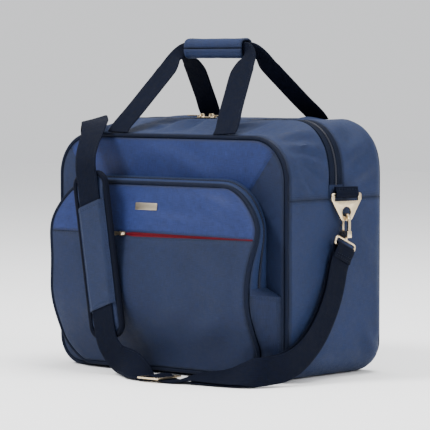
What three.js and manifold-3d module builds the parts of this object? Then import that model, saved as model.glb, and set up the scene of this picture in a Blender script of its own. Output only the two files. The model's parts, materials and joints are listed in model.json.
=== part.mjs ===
// A soft cabin flight bag: zipped main compartment, zipped front pocket with an accent slot
// pocket, two webbing carry handles joined by a wrap, and a padded shoulder strap on snap hooks.
//
// Frame: millimetres, +Z up, +Y to the back, the front pocket faces -Y. The origin is at floor
// level, mid-width, straight below the main zip.

import * as THREE from 'three';
import { mergeVertices } from 'three/addons/utils/BufferGeometryUtils.js';
import Module from 'manifold-3d';

const wasm = await Module();
wasm.setup();

// ---------------------------------------------------------------- driving dimensions

// Main compartment
const bodyWidth = 420;
const bodyHeight = 330;            // top edge of the front panel
const frontDepth = 105;            // main zip to front panel face
const rearDepth = 110;             // main zip to back panel face
const topCrown = 20;               // how far the padded top rises above the front edge
const crownRun = 95;               // depth over which it rises
const topCornerRadius = 60;
const bottomCornerRadius = 42;
const rearEdgeRadius = 22;
const wall = 4;                    // fabric laminated on foam
const sideSeamDrop = 86;           // side seam below the front panel's top edge
const bodyPipingRadius = 3;
const seamGap = 0.3;               // gap kept between sewn neighbours
const boardThickness = 2.5;
const boardMargin = 8;
const boardLift = 4.3;             // air under the board

// Main zip
const coilWidth = 6;
const coilThickness = 2.4;
const tapeWidth = 10;
const tapeThickness = 1.6;
const tapeRecess = 0.8;
const mainZipEndRise = 18;         // the zip ends this much above the side seam
const mainSliderX = [-32, -14];

// Zip hardware
const sliderLength = 14;
const sliderWidth = 8.5;
const sliderThickness = 2.2;
const bridgeWidth = 2.8;
const bridgeThickness = 1.3;
const pullerBar = 1.6;             // thickness of the puller and of its eye bar
const pullerWidth = 7;
const pullerLength = 26;
const pullerPlay = 0.6;            // clearance of the eye bar under the bridge
const bridgeEdge = 0.8;            // bevel of the bridge's corners

// Front pocket
const pocketSideMargin = 28;       // bag's side to the pocket's side
const pocketCheek = 10;            // extra half width where the pocket is fullest at the top
const pocketCheekDrop = 66;        // fullest cheek below the pocket's top
const pocketCheekSpread = 36;
const pocketBottom = 4;
const pocketTopMargin = 64;        // top edge of the front panel to the pocket's top
const pocketTopRadius = 64;
const pocketBottomRadius = 48;
const pocketBottomDepth = 14;
const pocketMaxDepth = 50;
const pocketTopDepth = 32;
const pocketFullHeight = 115;      // height at which the pocket is deepest
const pocketRootInset = 6;         // the zipped gusset's foot is this much narrower than the face
const pocketRootRise = 6;          // the root line stands this much above the face's outline
const pocketRootTopRadius = 74;
const pocketFlareMargin = 8;       // lower right gusset panel ends this far from the bag's side
const pocketPanelWall = 3;
const pocketGussetWall = 2.4;
const pocketPipingRadius = 3;
const pocketZipRightEnd = 122;
const pocketZipLeftEnd = 34;
const pocketCoilWidth = 5;
const pocketZipShare = 0.54;       // where the coil lies between the face and the front panel
const pocketSliderHeights = [108, 50];
const sliderSeat = 0.5;            // the slider stands this much off a curved zip
const cornerEase = 1.75;           // extra room between a face panel and the curling piping

// Accent slot pocket and badge on the pocket's face
const accentDrop = 73;             // slot below the pocket's top
const accentOpening = 8;
const accentSliderX = -50;
const accentSliderReach = 2.8;      // below the slot's middle, where the slider rests on the slope
const accentPullerLength = 13;
const accentRecess = 1.4;
const badgeX = -10;
const badgeDrop = 34.5;            // badge below the pocket's top
const badgeWidth = 40;
const badgeTall = 10;
const badgeThickness = 1.4;

// Carry handles
const webbingWidth = 38;
const webbingThickness = 2.2;
const handleSpacing = 98;          // leg centre to the bag's middle
const gripRise = 118;              // grip above the front panel's top edge
const gripWebbingHalf = 9;         // the webbing is folded in half inside the grip
const gripWebbingThickness = 5;
const gripOffset = 4.6;            // each handle's grip stands this far from the mid plane
const gripHalfLength = 53;
const gripShift = -2.5;            // the grip hangs this much off the middle
const wrapHalfDepth = 12.6;
const wrapHalfHeight = 14;
const wrapThickness = 2.6;
const handleAir = 0.04;            // air under the near corner of a leg's foot
const handleFootLean = 0.02;       // how far that corner dips, as a share of the webbing's width

// Side rings, snap hooks and strap ends
const hardwareAir = 5.58;          // bag's side to the bar at the webbing's near edge
const hardwareY = 8;
const ringBarRise = 6;             // ring bar above the side seam
const ringYaw = 75;
const ringShoulder = 6;            // ring beyond the webbing on each side
const ringHeight = 37;
const ringThickness = 3;
const ringBar = 4;
const ringSlotHeight = 7;
const ringHoleRadius = 7.5;
const ringRim = 4.5;               // metal left below the hole
const ringFootHalfWidth = 9;
const tabWallRadius = 5.2;
const tabBoreRadius = 3;
const tabRise = 9;
const hookWire = 4;
const hookInnerWidth = 9;
const hookPlay = 1.8;              // claw to ring
const hookYaw = -15;
const hookBodyLength = 24;
const hookNoseLength = 7;
const hookBlockLength = 9;
const gateTravel = 5;
const gateRadius = 1.5;
const gateClearance = 0.4;
const eyeShaftRadius = 2;
const eyeShaftLength = 10.2;
const eyeDrop = 4.2;               // from the hook's block to the strap eye
const eyePlay = 2.5;               // eye wire's middle beyond the webbing on each side
const eyeHeight = 11;
const eyeWireRadius = 1.7;
const eyeTilt = 22;
const strapEndLength = 17;

// Shoulder strap and pad
const padX = -77;
const padHeightOffset = -2;        // pad centre from half the bag's height
const padStandOff = 5;             // pad's back to the fullest part of the pocket
const padLean = 9;
const padLength = 230;
const padSideMargin = 12;          // webbing's edge to the pad's edge
const padThickness = 8;
const padCornerRadius = 18;
const bindingWidth = 4;
const bindingDepth = 9;
const sleeveLength = 154;
const sleeveThickness = 1.8;
const sleeveFlange = 5;
const layerGap = 1;                // air between stacked webbing layers
const adjusterX = 54;
const adjusterStandOff = 30;       // adjuster ahead of the fullest part of the pocket
const adjusterPitch = 17;
const adjusterRun = 12;            // flat stretch of strap on each side of the adjuster
const adjusterBar = 3.2;
const adjusterPlay = 3;
const adjusterFloor = 4.7;
const adjusterThickness = 2.4;

// Mesh fineness
const cornerSteps = 7;
const wireSides = 8;

// ---------------------------------------------------------------- places worked out from them

const bodyHalf = bodyWidth / 2;
const sideSeamHeight = bodyHeight - sideSeamDrop;
const mainZipEndHeight = sideSeamHeight + mainZipEndRise;
const pocketHalfWidth = bodyHalf - pocketSideMargin;
const pocketTop = bodyHeight - pocketTopMargin;
const pocketCheekHeight = pocketTop - pocketCheekDrop;
const pocketRootHalfWidth = pocketHalfWidth - pocketRootInset;
const pocketFlareHalfWidth = bodyHalf - pocketFlareMargin;
const pocketFrontY = -frontDepth - pocketMaxDepth;
const accentHeight = pocketTop - accentDrop;
const badgeHeight = pocketTop - badgeDrop;
const gripHeight = bodyHeight + gripRise;
const handleSeat = handleAir + handleFootLean * webbingWidth;
const ringYawSpread = webbingWidth / 2 * Math.cos(THREE.MathUtils.degToRad(ringYaw));
const hardwareX = bodyHalf + hardwareAir + ringYawSpread;
const ringBarHeight = sideSeamHeight + ringBarRise;
const ringWidth = webbingWidth + 2 * ringShoulder;
const eyeWidth = webbingWidth + 2 * eyePlay;
const padWidth = webbingWidth + 2 * padSideMargin;
const padCentre = [padX, pocketFrontY - padStandOff - padThickness / 2,
  bodyHeight / 2 + padHeightOffset];
const adjusterY = pocketFrontY - adjusterStandOff;

// ---------------------------------------------------------------- colours

const bodyBlue = new THREE.Color(0.055, 0.095, 0.22);
const royalBlue = new THREE.Color(0.075, 0.13, 0.33);
const greyNavy = new THREE.Color(0.05, 0.08, 0.16);
const webbingNavy = new THREE.Color(0.02, 0.03, 0.07);
const accentRed = new THREE.Color(0.3, 0.01, 0.03);
const paleGold = new THREE.Color(0.78, 0.7, 0.56);

function fabric(color, roughness = 0.85) {
  return new THREE.MeshStandardMaterial({ color, roughness, metalness: 0 });
}

function metal(color = paleGold, roughness = 0.28) {
  return new THREE.MeshStandardMaterial({ color, roughness, metalness: 1 });
}

// ---------------------------------------------------------------- geometry helpers

const bag = new THREE.Group();
const radians = THREE.MathUtils.degToRad;
const vec = (x, y, z) => new THREE.Vector3(x, y, z);

function add(name, geometry, material, parent = bag) {
  const mesh = new THREE.Mesh(geometry, material);
  mesh.name = name;
  parent.add(mesh);
  return mesh;
}

function signedVolume(points, faces) {
  let volume = 0;
  for (let i = 0; i < faces.length; i += 3) {
    const [a, b, c] = [points[faces[i]], points[faces[i + 1]], points[faces[i + 2]]];
    volume += a.dot(b.clone().cross(c));
  }
  return volume;
}

// A closed body from points and triangles, turned so that its faces point out.
function body(points, faces) {
  const turned = signedVolume(points, faces) < 0 ? faces.toReversed() : faces;
  const geometry = new THREE.BufferGeometry().setFromPoints(points);
  geometry.setIndex(turned);
  return geometry;
}

function quad(faces, a, b, c, d) {
  faces.push(a, b, c, a, c, d);
}

// A thick sheet between two equal grids of points, closed round its edges.
function sheet(outer, inner) {
  const rows = outer.length;
  const columns = outer[0].length;
  const points = [...outer.flat(), ...inner.flat()];
  const faces = [];
  const at = (i, j) => i * columns + j;
  const below = (i, j) => rows * columns + at(i, j);
  const endRow = rows - 1;
  const endColumn = columns - 1;
  for (let i = 0; i < endRow; i += 1) {
    for (let j = 0; j < endColumn; j += 1) {
      quad(faces, at(i, j), at(i + 1, j), at(i + 1, j + 1), at(i, j + 1));
      quad(faces, below(i, j), below(i, j + 1), below(i + 1, j + 1), below(i + 1, j));
    }
    quad(faces, at(i, 0), below(i, 0), below(i + 1, 0), at(i + 1, 0));
    quad(faces, at(i, endColumn), at(i + 1, endColumn), below(i + 1, endColumn),
      below(i, endColumn));
  }
  for (let j = 0; j < endColumn; j += 1) {
    quad(faces, at(0, j), at(0, j + 1), below(0, j + 1), below(0, j));
    quad(faces, at(endRow, j), below(endRow, j), below(endRow, j + 1), at(endRow, j + 1));
  }
  return body(points, faces);
}

// A solid swept through sections that all have the same number of points.
function skin(sections, loop = false) {
  const count = sections.length;
  const sides = sections[0].length;
  const faces = [];
  const at = (i, j) => (i % count) * sides + (j % sides);
  const last = loop ? count : count - 1;
  for (let i = 0; i < last; i += 1) {
    for (let j = 0; j < sides; j += 1) {
      quad(faces, at(i, j), at(i, j + 1), at(i + 1, j + 1), at(i + 1, j));
    }
  }
  if (!loop) {
    for (let j = 1; j + 1 < sides; j += 1) {
      faces.push(at(0, 0), at(0, j + 1), at(0, j));
      faces.push(at(count - 1, 0), at(count - 1, j), at(count - 1, j + 1));
    }
  }
  return body(sections.flat(), faces);
}

// A round cord that closes on itself. Its section is square to the path and to the given axis.
function ringCord(path, radius, axis, sides = wireSides) {
  const sections = path.map((point, i) => {
    const before = path[(i + path.length - 1) % path.length];
    const after = path[(i + 1) % path.length];
    const tangent = after.clone().sub(before).normalize();
    const side = tangent.clone().cross(axis).normalize();
    const up = side.clone().cross(tangent).normalize();
    return circle(sides).map(([c, s]) => point.clone()
      .addScaledVector(side, radius * c)
      .addScaledVector(up, radius * s));
  });
  return skin(sections, true);
}

function circle(sides) {
  return Array.from({ length: sides }, (_, i) => {
    const angle = 2 * Math.PI * i / sides;
    return [Math.cos(angle), Math.sin(angle)];
  });
}

// Flat webbing through stations {point, inner, half, thick}. inner is the direction that its
// inner face looks in, offset moves the whole layer that way.
function webbing(stations, steps, offset = 0) {
  const curve = new THREE.CatmullRomCurve3(stations.map((s) => s.point), false, 'centripetal');
  const facing = new THREE.CatmullRomCurve3(stations.map((s) => s.inner));
  const sections = [];
  for (let i = 0; i <= steps; i += 1) {
    const t = i / steps;
    const tangent = curve.getTangent(t);
    const across = facing.getPoint(t).cross(tangent).normalize();
    const inner = tangent.clone().cross(across).normalize();
    const centre = curve.getPoint(t).addScaledVector(inner, offset);
    const half = between(stations, t, 'half');
    const thick = between(stations, t, 'thick') / 2;
    const corner = (u, v) => centre.clone().addScaledVector(across, u).addScaledVector(inner, v);
    sections.push([corner(-half, -thick), corner(half, -thick), corner(half, thick),
      corner(-half, thick)]);
  }
  return skin(sections);
}

function between(stations, t, key) {
  const place = t * (stations.length - 1);
  const i = Math.min(Math.floor(place), stations.length - 2);
  return THREE.MathUtils.lerp(stations[i][key], stations[i + 1][key], place - i);
}

function station(point, inner, half = webbingWidth / 2, thick = webbingThickness) {
  return { point: vec(...point), inner: vec(...inner).normalize(), half, thick };
}

function solidOf(geometry) {
  const plain = geometry.clone();
  plain.deleteAttribute('normal');
  plain.deleteAttribute('uv');
  const merged = mergeVertices(plain);
  return new wasm.Manifold(new wasm.Mesh({
    numProp: 3,
    vertProperties: new Float32Array(merged.attributes.position.array),
    triVerts: new Uint32Array(merged.index.array),
  }));
}

function geometryOf(solid) {
  const mesh = solid.getMesh();
  const geometry = new THREE.BufferGeometry();
  geometry.setAttribute('position', new THREE.BufferAttribute(mesh.vertProperties, 3));
  geometry.setIndex(new THREE.BufferAttribute(mesh.triVerts, 1));
  return geometry;
}

function join(...geometries) {
  return geometryOf(geometries.map(solidOf).reduce((a, b) => a.add(b)));
}

function cut(geometry, ...tools) {
  return geometryOf(tools.map(solidOf).reduce((a, b) => a.subtract(b), solidOf(geometry)));
}

function box(x, y, z, cx = 0, cy = 0, cz = 0) {
  return new THREE.BoxGeometry(x, y, z).translate(cx, cy, cz);
}

function rodZ(radius, from, to, x = 0, y = 0, sides = 12) {
  const rod = new THREE.CylinderGeometry(radius, radius, to - from, sides);
  return rod.rotateX(Math.PI / 2).translate(x, y, (from + to) / 2);
}

function polygon(points) {
  return new THREE.Shape(points.map(([x, z]) => new THREE.Vector2(x, z)));
}

// Extrudes an outline drawn in X and Z through a depth in Y, centred on y.
function plateXZ(shape, depth, y = 0, curveSegments = 6) {
  const geometry = new THREE.ExtrudeGeometry(shape, { depth, bevelEnabled: false, curveSegments });
  return geometry.rotateX(Math.PI / 2).translate(0, y + depth / 2, 0);
}

// Extrudes an outline drawn in Y and Z through a width in X, centred on x.
function plateYZ(shape, width, x = 0, curveSegments = 6) {
  const geometry = new THREE.ExtrudeGeometry(shape, {
    depth: width, bevelEnabled: false, curveSegments,
  });
  geometry.rotateX(Math.PI / 2).rotateZ(Math.PI / 2);
  return geometry.translate(x - width / 2, 0, 0);
}

function arc(centreX, centreZ, radius, fromDegrees, toDegrees, steps = cornerSteps) {
  return Array.from({ length: steps + 1 }, (_, i) => {
    const angle = radians(fromDegrees + (toDegrees - fromDegrees) * i / steps);
    const nx = Math.cos(angle);
    const nz = Math.sin(angle);
    return { x: centreX + radius * nx, z: centreZ + radius * nz, nx, nz };
  });
}

function roundedShape(width, height, radius, steps = cornerSteps) {
  const x = width / 2 - radius;
  const z = height / 2 - radius;
  return [
    ...arc(x, -z, radius, -90, 0, steps), ...arc(x, z, radius, 0, 90, steps),
    ...arc(-x, z, radius, 90, 180, steps), ...arc(-x, -z, radius, 180, 270, steps),
  ].map((p) => [p.x, p.z]);
}

// ---------------------------------------------------------------- main compartment

const rearSeam = rearDepth - wall - seamGap;
const gussetFront = -frontDepth + 2 * bodyPipingRadius + seamGap;
const zipFieldHalf = coilWidth / 2 + seamGap + tapeWidth + seamGap;

function crownAt(y) {
  return topCrown * THREE.MathUtils.smoothstep(y, -frontDepth, -frontDepth + crownRun);
}

function rearRounding(y) {
  const past = Math.max(0, y - (rearDepth - rearEdgeRadius));
  return rearEdgeRadius - Math.sqrt(rearEdgeRadius ** 2 - past ** 2);
}

// The bag's skin at an outline point and depth, moved inwards by inset.
function skinPoint(p, y, inset) {
  const rise = crownAt(y) * Math.max(0, p.nz) ** 2;
  const out = rise - rearRounding(y) - inset;
  return vec(p.x + p.nx * out, y, p.z + p.nz * out);
}

function side(x, fromZ, toZ) {
  const nx = Math.sign(x);
  return [{ x, z: fromZ, nx, nz: 0 }, { x, z: toZ, nx, nz: 0 }];
}

function topCorner(sign) {
  const x = sign * (bodyHalf - topCornerRadius);
  const z = bodyHeight - topCornerRadius;
  return sign > 0
    ? arc(x, z, topCornerRadius, 0, 90)
    : arc(x, z, topCornerRadius, 90, 180);
}

function bottomCorner(sign) {
  const x = sign * (bodyHalf - bottomCornerRadius);
  return sign > 0
    ? arc(x, bottomCornerRadius, bottomCornerRadius, -90, 0)
    : arc(x, bottomCornerRadius, bottomCornerRadius, 180, 270);
}

// From the right side's seam over the top to the left side's seam.
function upperPath(fromZ) {
  const half = bodyHalf;
  const cornerZ = bodyHeight - topCornerRadius;
  const right = side(half, fromZ, (fromZ + cornerZ) / 2);
  const left = side(-half, (fromZ + cornerZ) / 2, fromZ);
  return [...right, ...topCorner(1), ...topCorner(-1), ...left];
}

// From the left side's seam down and under to the right side's seam.
function lowerPath(toZ) {
  const half = bodyHalf;
  const left = side(-half, toZ, toZ / 2);
  const right = side(half, toZ / 2, toZ);
  return [...left, ...bottomCorner(-1), ...bottomCorner(1), ...right];
}

function bodyLoop() {
  return [...topCorner(1), ...topCorner(-1), ...bottomCorner(-1), ...bottomCorner(1)];
}

function depthSteps(from, to, count) {
  return Array.from({ length: count + 1 }, (_, i) => from + (to - from) * i / count);
}

function band(path, depths, thickness, inset = 0) {
  const grid = (extra) => path.map((p) => depths.map((y) => skinPoint(p, y, inset + extra)));
  return sheet(grid(0), grid(thickness));
}

function buildMainCompartment() {
  const seam = sideSeamHeight + seamGap / 2;
  const rearFlat = rearDepth - rearEdgeRadius;
  const frontSteps = depthSteps(gussetFront, -zipFieldHalf, 5);
  const rearSteps = [...depthSteps(zipFieldHalf, rearFlat, 2), ...depthSteps(rearFlat, rearSeam, 3)
    .slice(1)];
  const wholeSteps = [gussetFront, 0, ...depthSteps(rearFlat, rearSeam, 3)];
  add('upper_gusset_front', band(upperPath(seam), frontSteps, wall), fabric(bodyBlue));
  add('upper_gusset_rear', band(upperPath(seam), rearSteps, wall), fabric(bodyBlue));
  add('lower_gusset', band(lowerPath(seam - seamGap), wholeSteps, wall), fabric(bodyBlue));

  const frontInset = 2 * bodyPipingRadius + seamGap;
  const flat = (y, inset) => bodyLoop().map((p) => {
    const at = skinPoint(p, y, inset);
    return [at.x, at.z];
  });
  const front = polygon(flat(-frontDepth, frontInset));
  add('front_panel', plateXZ(front, wall, -frontDepth + wall / 2), fabric(royalBlue));
  const back = polygon(flat(rearSeam, 0));
  add('back_panel', plateXZ(back, wall, rearDepth - wall / 2), fabric(bodyBlue));

  const pipingY = -frontDepth + bodyPipingRadius;
  const pipingPath = bodyLoop().map((p) => skinPoint(p, pipingY, bodyPipingRadius));
  add('front_piping', ringCord(pipingPath, bodyPipingRadius, vec(0, 1, 0)), fabric(webbingNavy));

  const cornerClear = bottomCornerRadius / 2;
  const boardWidth = bodyWidth - 2 * (cornerClear + wall + boardMargin);
  const boardFrom = -frontDepth + wall + boardMargin;
  const boardTo = rearDepth - rearEdgeRadius - boardMargin;
  const board = box(boardWidth, boardTo - boardFrom, boardThickness);
  board.translate(0, (boardFrom + boardTo) / 2, wall + boardLift + boardThickness / 2);
  add('base_board', board, fabric(webbingNavy, 0.7));
}

function buildMainZip() {
  const path = upperPath(mainZipEndHeight);
  const tapeFrom = coilWidth / 2 + seamGap;
  const tapeTo = tapeFrom + tapeWidth;
  const frontTape = band(path, [-tapeTo, -tapeFrom], tapeThickness, tapeRecess);
  const rearTape = band(path, [tapeFrom, tapeTo], tapeThickness, tapeRecess);
  add('main_zip_tape_front', frontTape, fabric(webbingNavy));
  add('main_zip_tape_rear', rearTape, fabric(webbingNavy));
  const coil = band(path, [-coilWidth / 2, coilWidth / 2], coilThickness);
  add('main_zip_coil', coil, fabric(webbingNavy, 0.5));
}

// ---------------------------------------------------------------- zip sliders and pullers

const bridgeWindow = pullerBar + 2 * pullerPlay;
const pullerAxisHeight = sliderThickness + bridgeWindow / 2;

// Slider with a bridge over its back: it runs along local X and stands out along local Z.
function sliderGeometry(width = sliderWidth, length = sliderLength) {
  const plate = new THREE.ExtrudeGeometry(
    polygon(roundedShape(length, width, width * 0.3, 2)),
    { depth: sliderThickness, bevelEnabled: false },
  );
  const reach = bridgeWindow / 2 + bridgeThickness + bridgeEdge;
  const top = sliderThickness + bridgeWindow + bridgeThickness;
  const outer = polygon([[-reach - 1.2, sliderThickness / 2], [reach + 1.2, sliderThickness / 2],
    [reach, top - bridgeEdge], [reach - bridgeEdge, top], [bridgeEdge - reach, top],
    [-reach, top - bridgeEdge]]);
  const half = reach - bridgeThickness;
  outer.holes.push(new THREE.Path([
    new THREE.Vector2(-half, sliderThickness), new THREE.Vector2(-half, top - bridgeThickness),
    new THREE.Vector2(half, top - bridgeThickness), new THREE.Vector2(half, sliderThickness),
  ]));
  return join(plate, plateXZ(outer, bridgeWidth));
}

// Puller with its eye bar on local Y through the origin, lying along local -X.
function pullerGeometry(length = pullerLength, width = pullerWidth) {
  const eye = pullerBar / 2;
  const slot = bridgeThickness + pullerBar + 2.4;
  const outline = polygon([
    [eye, -width * 0.36], [eye, width * 0.36], [-slot, width * 0.4], [-length * 0.6, width / 2],
    [-length + 1.5, width / 2], [-length, width * 0.3], [-length, -width * 0.3],
    [-length + 1.5, -width / 2], [-length * 0.6, -width / 2], [-slot, -width * 0.4],
  ]);
  const hole = bridgeWidth / 2 + 0.4;
  outline.holes.push(new THREE.Path([
    new THREE.Vector2(-eye, -hole), new THREE.Vector2(-slot, -hole),
    new THREE.Vector2(-slot, hole), new THREE.Vector2(-eye, hole),
  ]));
  const depth = pullerBar * 0.8;
  const geometry = new THREE.ExtrudeGeometry(outline, { depth, bevelEnabled: false });
  return geometry.translate(0, 0, -depth / 2);
}

// Places a slider and its puller. along is the zip's direction, out points away from the fabric.
function addSlider(name, at, along, out, { flip = 1, width, length, pull, pullWidth } = {}) {
  const carrier = new THREE.Group();
  const across = out.clone().cross(along);
  carrier.applyMatrix4(new THREE.Matrix4().makeBasis(along, across, out));
  carrier.position.copy(at).addScaledVector(out, seamGap);
  bag.add(carrier);
  add(`${name}_slider`, sliderGeometry(width, length), metal(), carrier);
  const puller = add(`${name}_puller`, pullerGeometry(pull, pullWidth), metal(), carrier);
  puller.position.z = pullerAxisHeight;
  puller.rotation.z = flip > 0 ? 0 : Math.PI;
}

function buildMainSliders() {
  const top = bodyHeight + topCrown;
  mainSliderX.forEach((x, i) => {
    const name = `main_zip_${'ab'[i]}`;
    addSlider(name, vec(x, 0, top), vec(1, 0, 0), vec(0, 0, 1), { flip: i === 0 ? 1 : -1 });
  });
}

// ---------------------------------------------------------------- front pocket

function pocketDepth(z) {
  const low = THREE.MathUtils.smoothstep(z, 0, pocketFullHeight);
  const high = THREE.MathUtils.smoothstep(z, pocketFullHeight, pocketTop);
  return THREE.MathUtils.lerp(pocketBottomDepth, pocketMaxDepth, low)
    - (pocketMaxDepth - pocketTopDepth) * high;
}

const pocketFaceY = (z) => -frontDepth - pocketDepth(z);

function cheek(z) {
  return pocketCheek * Math.exp(-(((z - pocketCheekHeight) / pocketCheekSpread) ** 2));
}

// Right half of the pocket's outline, from bottom centre to top centre.
function pocketHalf(halfWidth, bottom, top, bottomRadius, topRadius, withCheek) {
  const right = halfWidth;
  const low = arc(right - bottomRadius, bottom + bottomRadius, bottomRadius, -90, 0);
  const high = arc(right - topRadius, top - topRadius, topRadius, 0, 90);
  const from = bottom + bottomRadius;
  const to = top - topRadius;
  const sideSteps = depthSteps(from, to, 8).slice(1, -1);
  const straight = sideSteps.map((z) => ({ x: right, z, nx: 1, nz: 0 }));
  return [...low, ...straight, ...high].map((p) => {
    const extra = withCheek ? cheek(p.z) * p.nx : 0;
    return { ...p, x: p.x + extra };
  });
}

function mirrored(half) {
  return half.map((p) => ({ ...p, x: -p.x, nx: -p.nx })).reverse();
}

const faceRight = pocketHalf(
  pocketHalfWidth, pocketBottom, pocketTop, pocketBottomRadius, pocketTopRadius, true,
);
const rootRight = pocketHalf(
  pocketRootHalfWidth, pocketBottom, pocketTop + pocketRootRise, pocketBottomRadius,
  pocketRootTopRadius, false,
);
const flareRight = pocketHalf(
  pocketFlareHalfWidth, pocketBottom, pocketTop, pocketBottomRadius, pocketRootTopRadius, false,
);

// A pair of matching points: on the pocket's face outline and on the front panel below it.
function gussetPair(face, root) {
  return face.map((f, i) => ({ face: f, root: root[i] }));
}

const zippedPair = [
  ...gussetPair(faceRight, rootRight), ...gussetPair(mirrored(faceRight), mirrored(rootRight)),
];
const openPair = [
  ...gussetPair(faceRight, flareRight), ...gussetPair(mirrored(faceRight), mirrored(rootRight)),
];

// The gusset's skin a share of the way from behind the face's piping to the front panel.
function gussetPoint(pair, share, inset) {
  const { face, root } = pair;
  const depthFrom = pocketFaceY(face.z) + 2 * pocketPipingRadius + seamGap;
  const depthTo = -frontDepth - seamGap;
  const nx = face.nx;
  const nz = face.nz;
  const x = THREE.MathUtils.lerp(face.x, root.x, share) - nx * inset;
  const z = THREE.MathUtils.lerp(face.z, root.z, share) - nz * inset;
  return vec(x, THREE.MathUtils.lerp(depthFrom, depthTo, share), z);
}

function trimPair(pairs, z, keepAbove) {
  const kept = [];
  pairs.forEach((pair, i) => {
    const inside = keepAbove ? pair.face.z > z : pair.face.z < z;
    if (inside) kept.push(pair);
    const next = pairs[i + 1];
    if (!next) return;
    const nextInside = keepAbove ? next.face.z > z : next.face.z < z;
    if (inside === nextInside) return;
    const t = (z - pair.face.z) / (next.face.z - pair.face.z);
    const mix = (a, b) => ({
      x: THREE.MathUtils.lerp(a.x, b.x, t),
      z: THREE.MathUtils.lerp(a.z, b.z, t),
      nx: a.nx + (b.nx - a.nx) * t,
      nz: a.nz + (b.nz - a.nz) * t,
    });
    kept.push({ face: mix(pair.face, next.face), root: mix(pair.root, next.root) });
  });
  return kept;
}

function gussetStrip(pairs, from, to, steps = 1, thickness = pocketGussetWall, inset = 0) {
  const shares = depthSteps(from, to, steps);
  const grid = (extra) => pairs.map((p) => shares.map((s) => gussetPoint(p, s, inset + extra)));
  return sheet(grid(0), grid(thickness));
}

function zippedPath() {
  const half = zippedPair.length / 2;
  const right = trimPair(zippedPair.slice(0, half), pocketZipRightEnd, true);
  const left = trimPair(zippedPair.slice(half), pocketZipLeftEnd, true);
  return [...right, ...left];
}

function openPath() {
  const half = openPair.length / 2;
  const right = trimPair(openPair.slice(0, half), pocketZipRightEnd - seamGap, false);
  const left = trimPair(openPair.slice(half), pocketZipLeftEnd - seamGap, false);
  return [...left, ...right];
}

function halfWidthAt(z) {
  const past = Math.max(0, z - (pocketTop - pocketTopRadius));
  const short = Math.max(0, pocketBottom + pocketBottomRadius - z);
  const topPull = pocketTopRadius - Math.sqrt(Math.max(0, pocketTopRadius ** 2 - past ** 2));
  const lowPull = pocketBottomRadius
    - Math.sqrt(Math.max(0, pocketBottomRadius ** 2 - short ** 2));
  const nx = 1 - Math.max(topPull / pocketTopRadius, lowPull / pocketBottomRadius);
  return pocketHalfWidth - topPull - lowPull + cheek(z) * nx;
}

// Heights bunched towards a rounded end, so that its curve stays smooth.
function easedHeights(square, round, count) {
  return Array.from({ length: count + 1 }, (_, i) => (
    square + (round - square) * Math.sin(Math.PI / 2 * i / count)
  ));
}

function facePanel(heights, edge, thickness, recess = 0) {
  const columns = 10;
  const row = (z, back) => Array.from({ length: columns + 1 }, (_, j) => {
    const reach = halfWidthAt(z) - edge(z);
    return vec(reach * (2 * j / columns - 1), pocketFaceY(z) + recess + back, z);
  });
  return sheet(heights.map((z) => row(z, 0)), heights.map((z) => row(z, thickness)));
}

function buildPocket() {
  const rim = 2 * pocketPipingRadius + seamGap;
  const lowFrom = pocketBottom + rim;
  const lowTo = accentHeight - accentOpening / 2;
  const highFrom = accentHeight + accentOpening / 2;
  const highTo = pocketTop - rim;
  const lowHeights = easedHeights(lowTo, lowFrom, 12).reverse();
  const highHeights = easedHeights(highFrom, highTo, 9);
  // Where a corner curls in, the rim's inset grows so that panel and piping stay apart.
  const cornerEdge = (z) => {
    const short = Math.max(0, pocketBottom + pocketBottomRadius - z) / pocketBottomRadius;
    const past = Math.max(0, z - (pocketTop - pocketTopRadius)) / pocketTopRadius;
    const lean = Math.min(0.96, Math.max(short, past));
    return rim / Math.sqrt(1 - lean ** 2) * cornerEase;
  };
  const lower = facePanel(lowHeights, cornerEdge, pocketPanelWall);
  const upper = facePanel(highHeights, cornerEdge, pocketPanelWall);
  add('pocket_face_lower', lower, fabric(greyNavy));
  add('pocket_face_upper', upper, fabric(royalBlue));

  const loop = [...faceRight, ...mirrored(faceRight)];
  const distinct = loop.filter((p, i) => {
    const q = loop[(i + 1) % loop.length];
    return Math.hypot(p.x - q.x, p.z - q.z) > 0.01;
  });
  const path = distinct.map((p) => vec(
    p.x - p.nx * pocketPipingRadius,
    pocketFaceY(p.z) + pocketPipingRadius,
    p.z - p.nz * pocketPipingRadius,
  ));
  add('pocket_piping', ringCord(path, pocketPipingRadius, vec(0, 1, 0)), fabric(webbingNavy));

  const zipped = zippedPath();
  const coilHalf = pocketCoilWidth / 2 / pocketMaxDepth;
  const gap = seamGap / pocketTopDepth * 1.4;
  const coilFrom = pocketZipShare - coilHalf;
  const coilTo = pocketZipShare + coilHalf;
  add('pocket_gusset_front', gussetStrip(zipped, 0, coilFrom - gap, 2), fabric(bodyBlue));
  add('pocket_zip_coil', gussetStrip(zipped, coilFrom, coilTo), fabric(webbingNavy, 0.5));
  add('pocket_gusset_rear', gussetStrip(zipped, coilTo + gap, 1), fabric(bodyBlue));
  add('pocket_gusset_lower', gussetStrip(openPath(), 0, 1, 3), fabric(greyNavy));
}

function buildPocketSliders() {
  const pairs = zippedPath();
  pocketSliderHeights.forEach((z, i) => {
    const reach = sliderLength / 2;
    const left = pairs.slice(pairs.length / 2);
    const place = (height, share) => gussetPoint(trimPair(left, height, false)[0], share, 0);
    const at = place(z, pocketZipShare);
    const along = place(z + reach, pocketZipShare).sub(place(z - reach, pocketZipShare));
    const across = place(z, 1).sub(place(z, 0));
    const out = along.normalize().clone().cross(across).normalize();
    at.addScaledVector(out, sliderSeat);
    addSlider(`pocket_zip_${'ab'[i]}`, at, along, out);
  });
}

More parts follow.
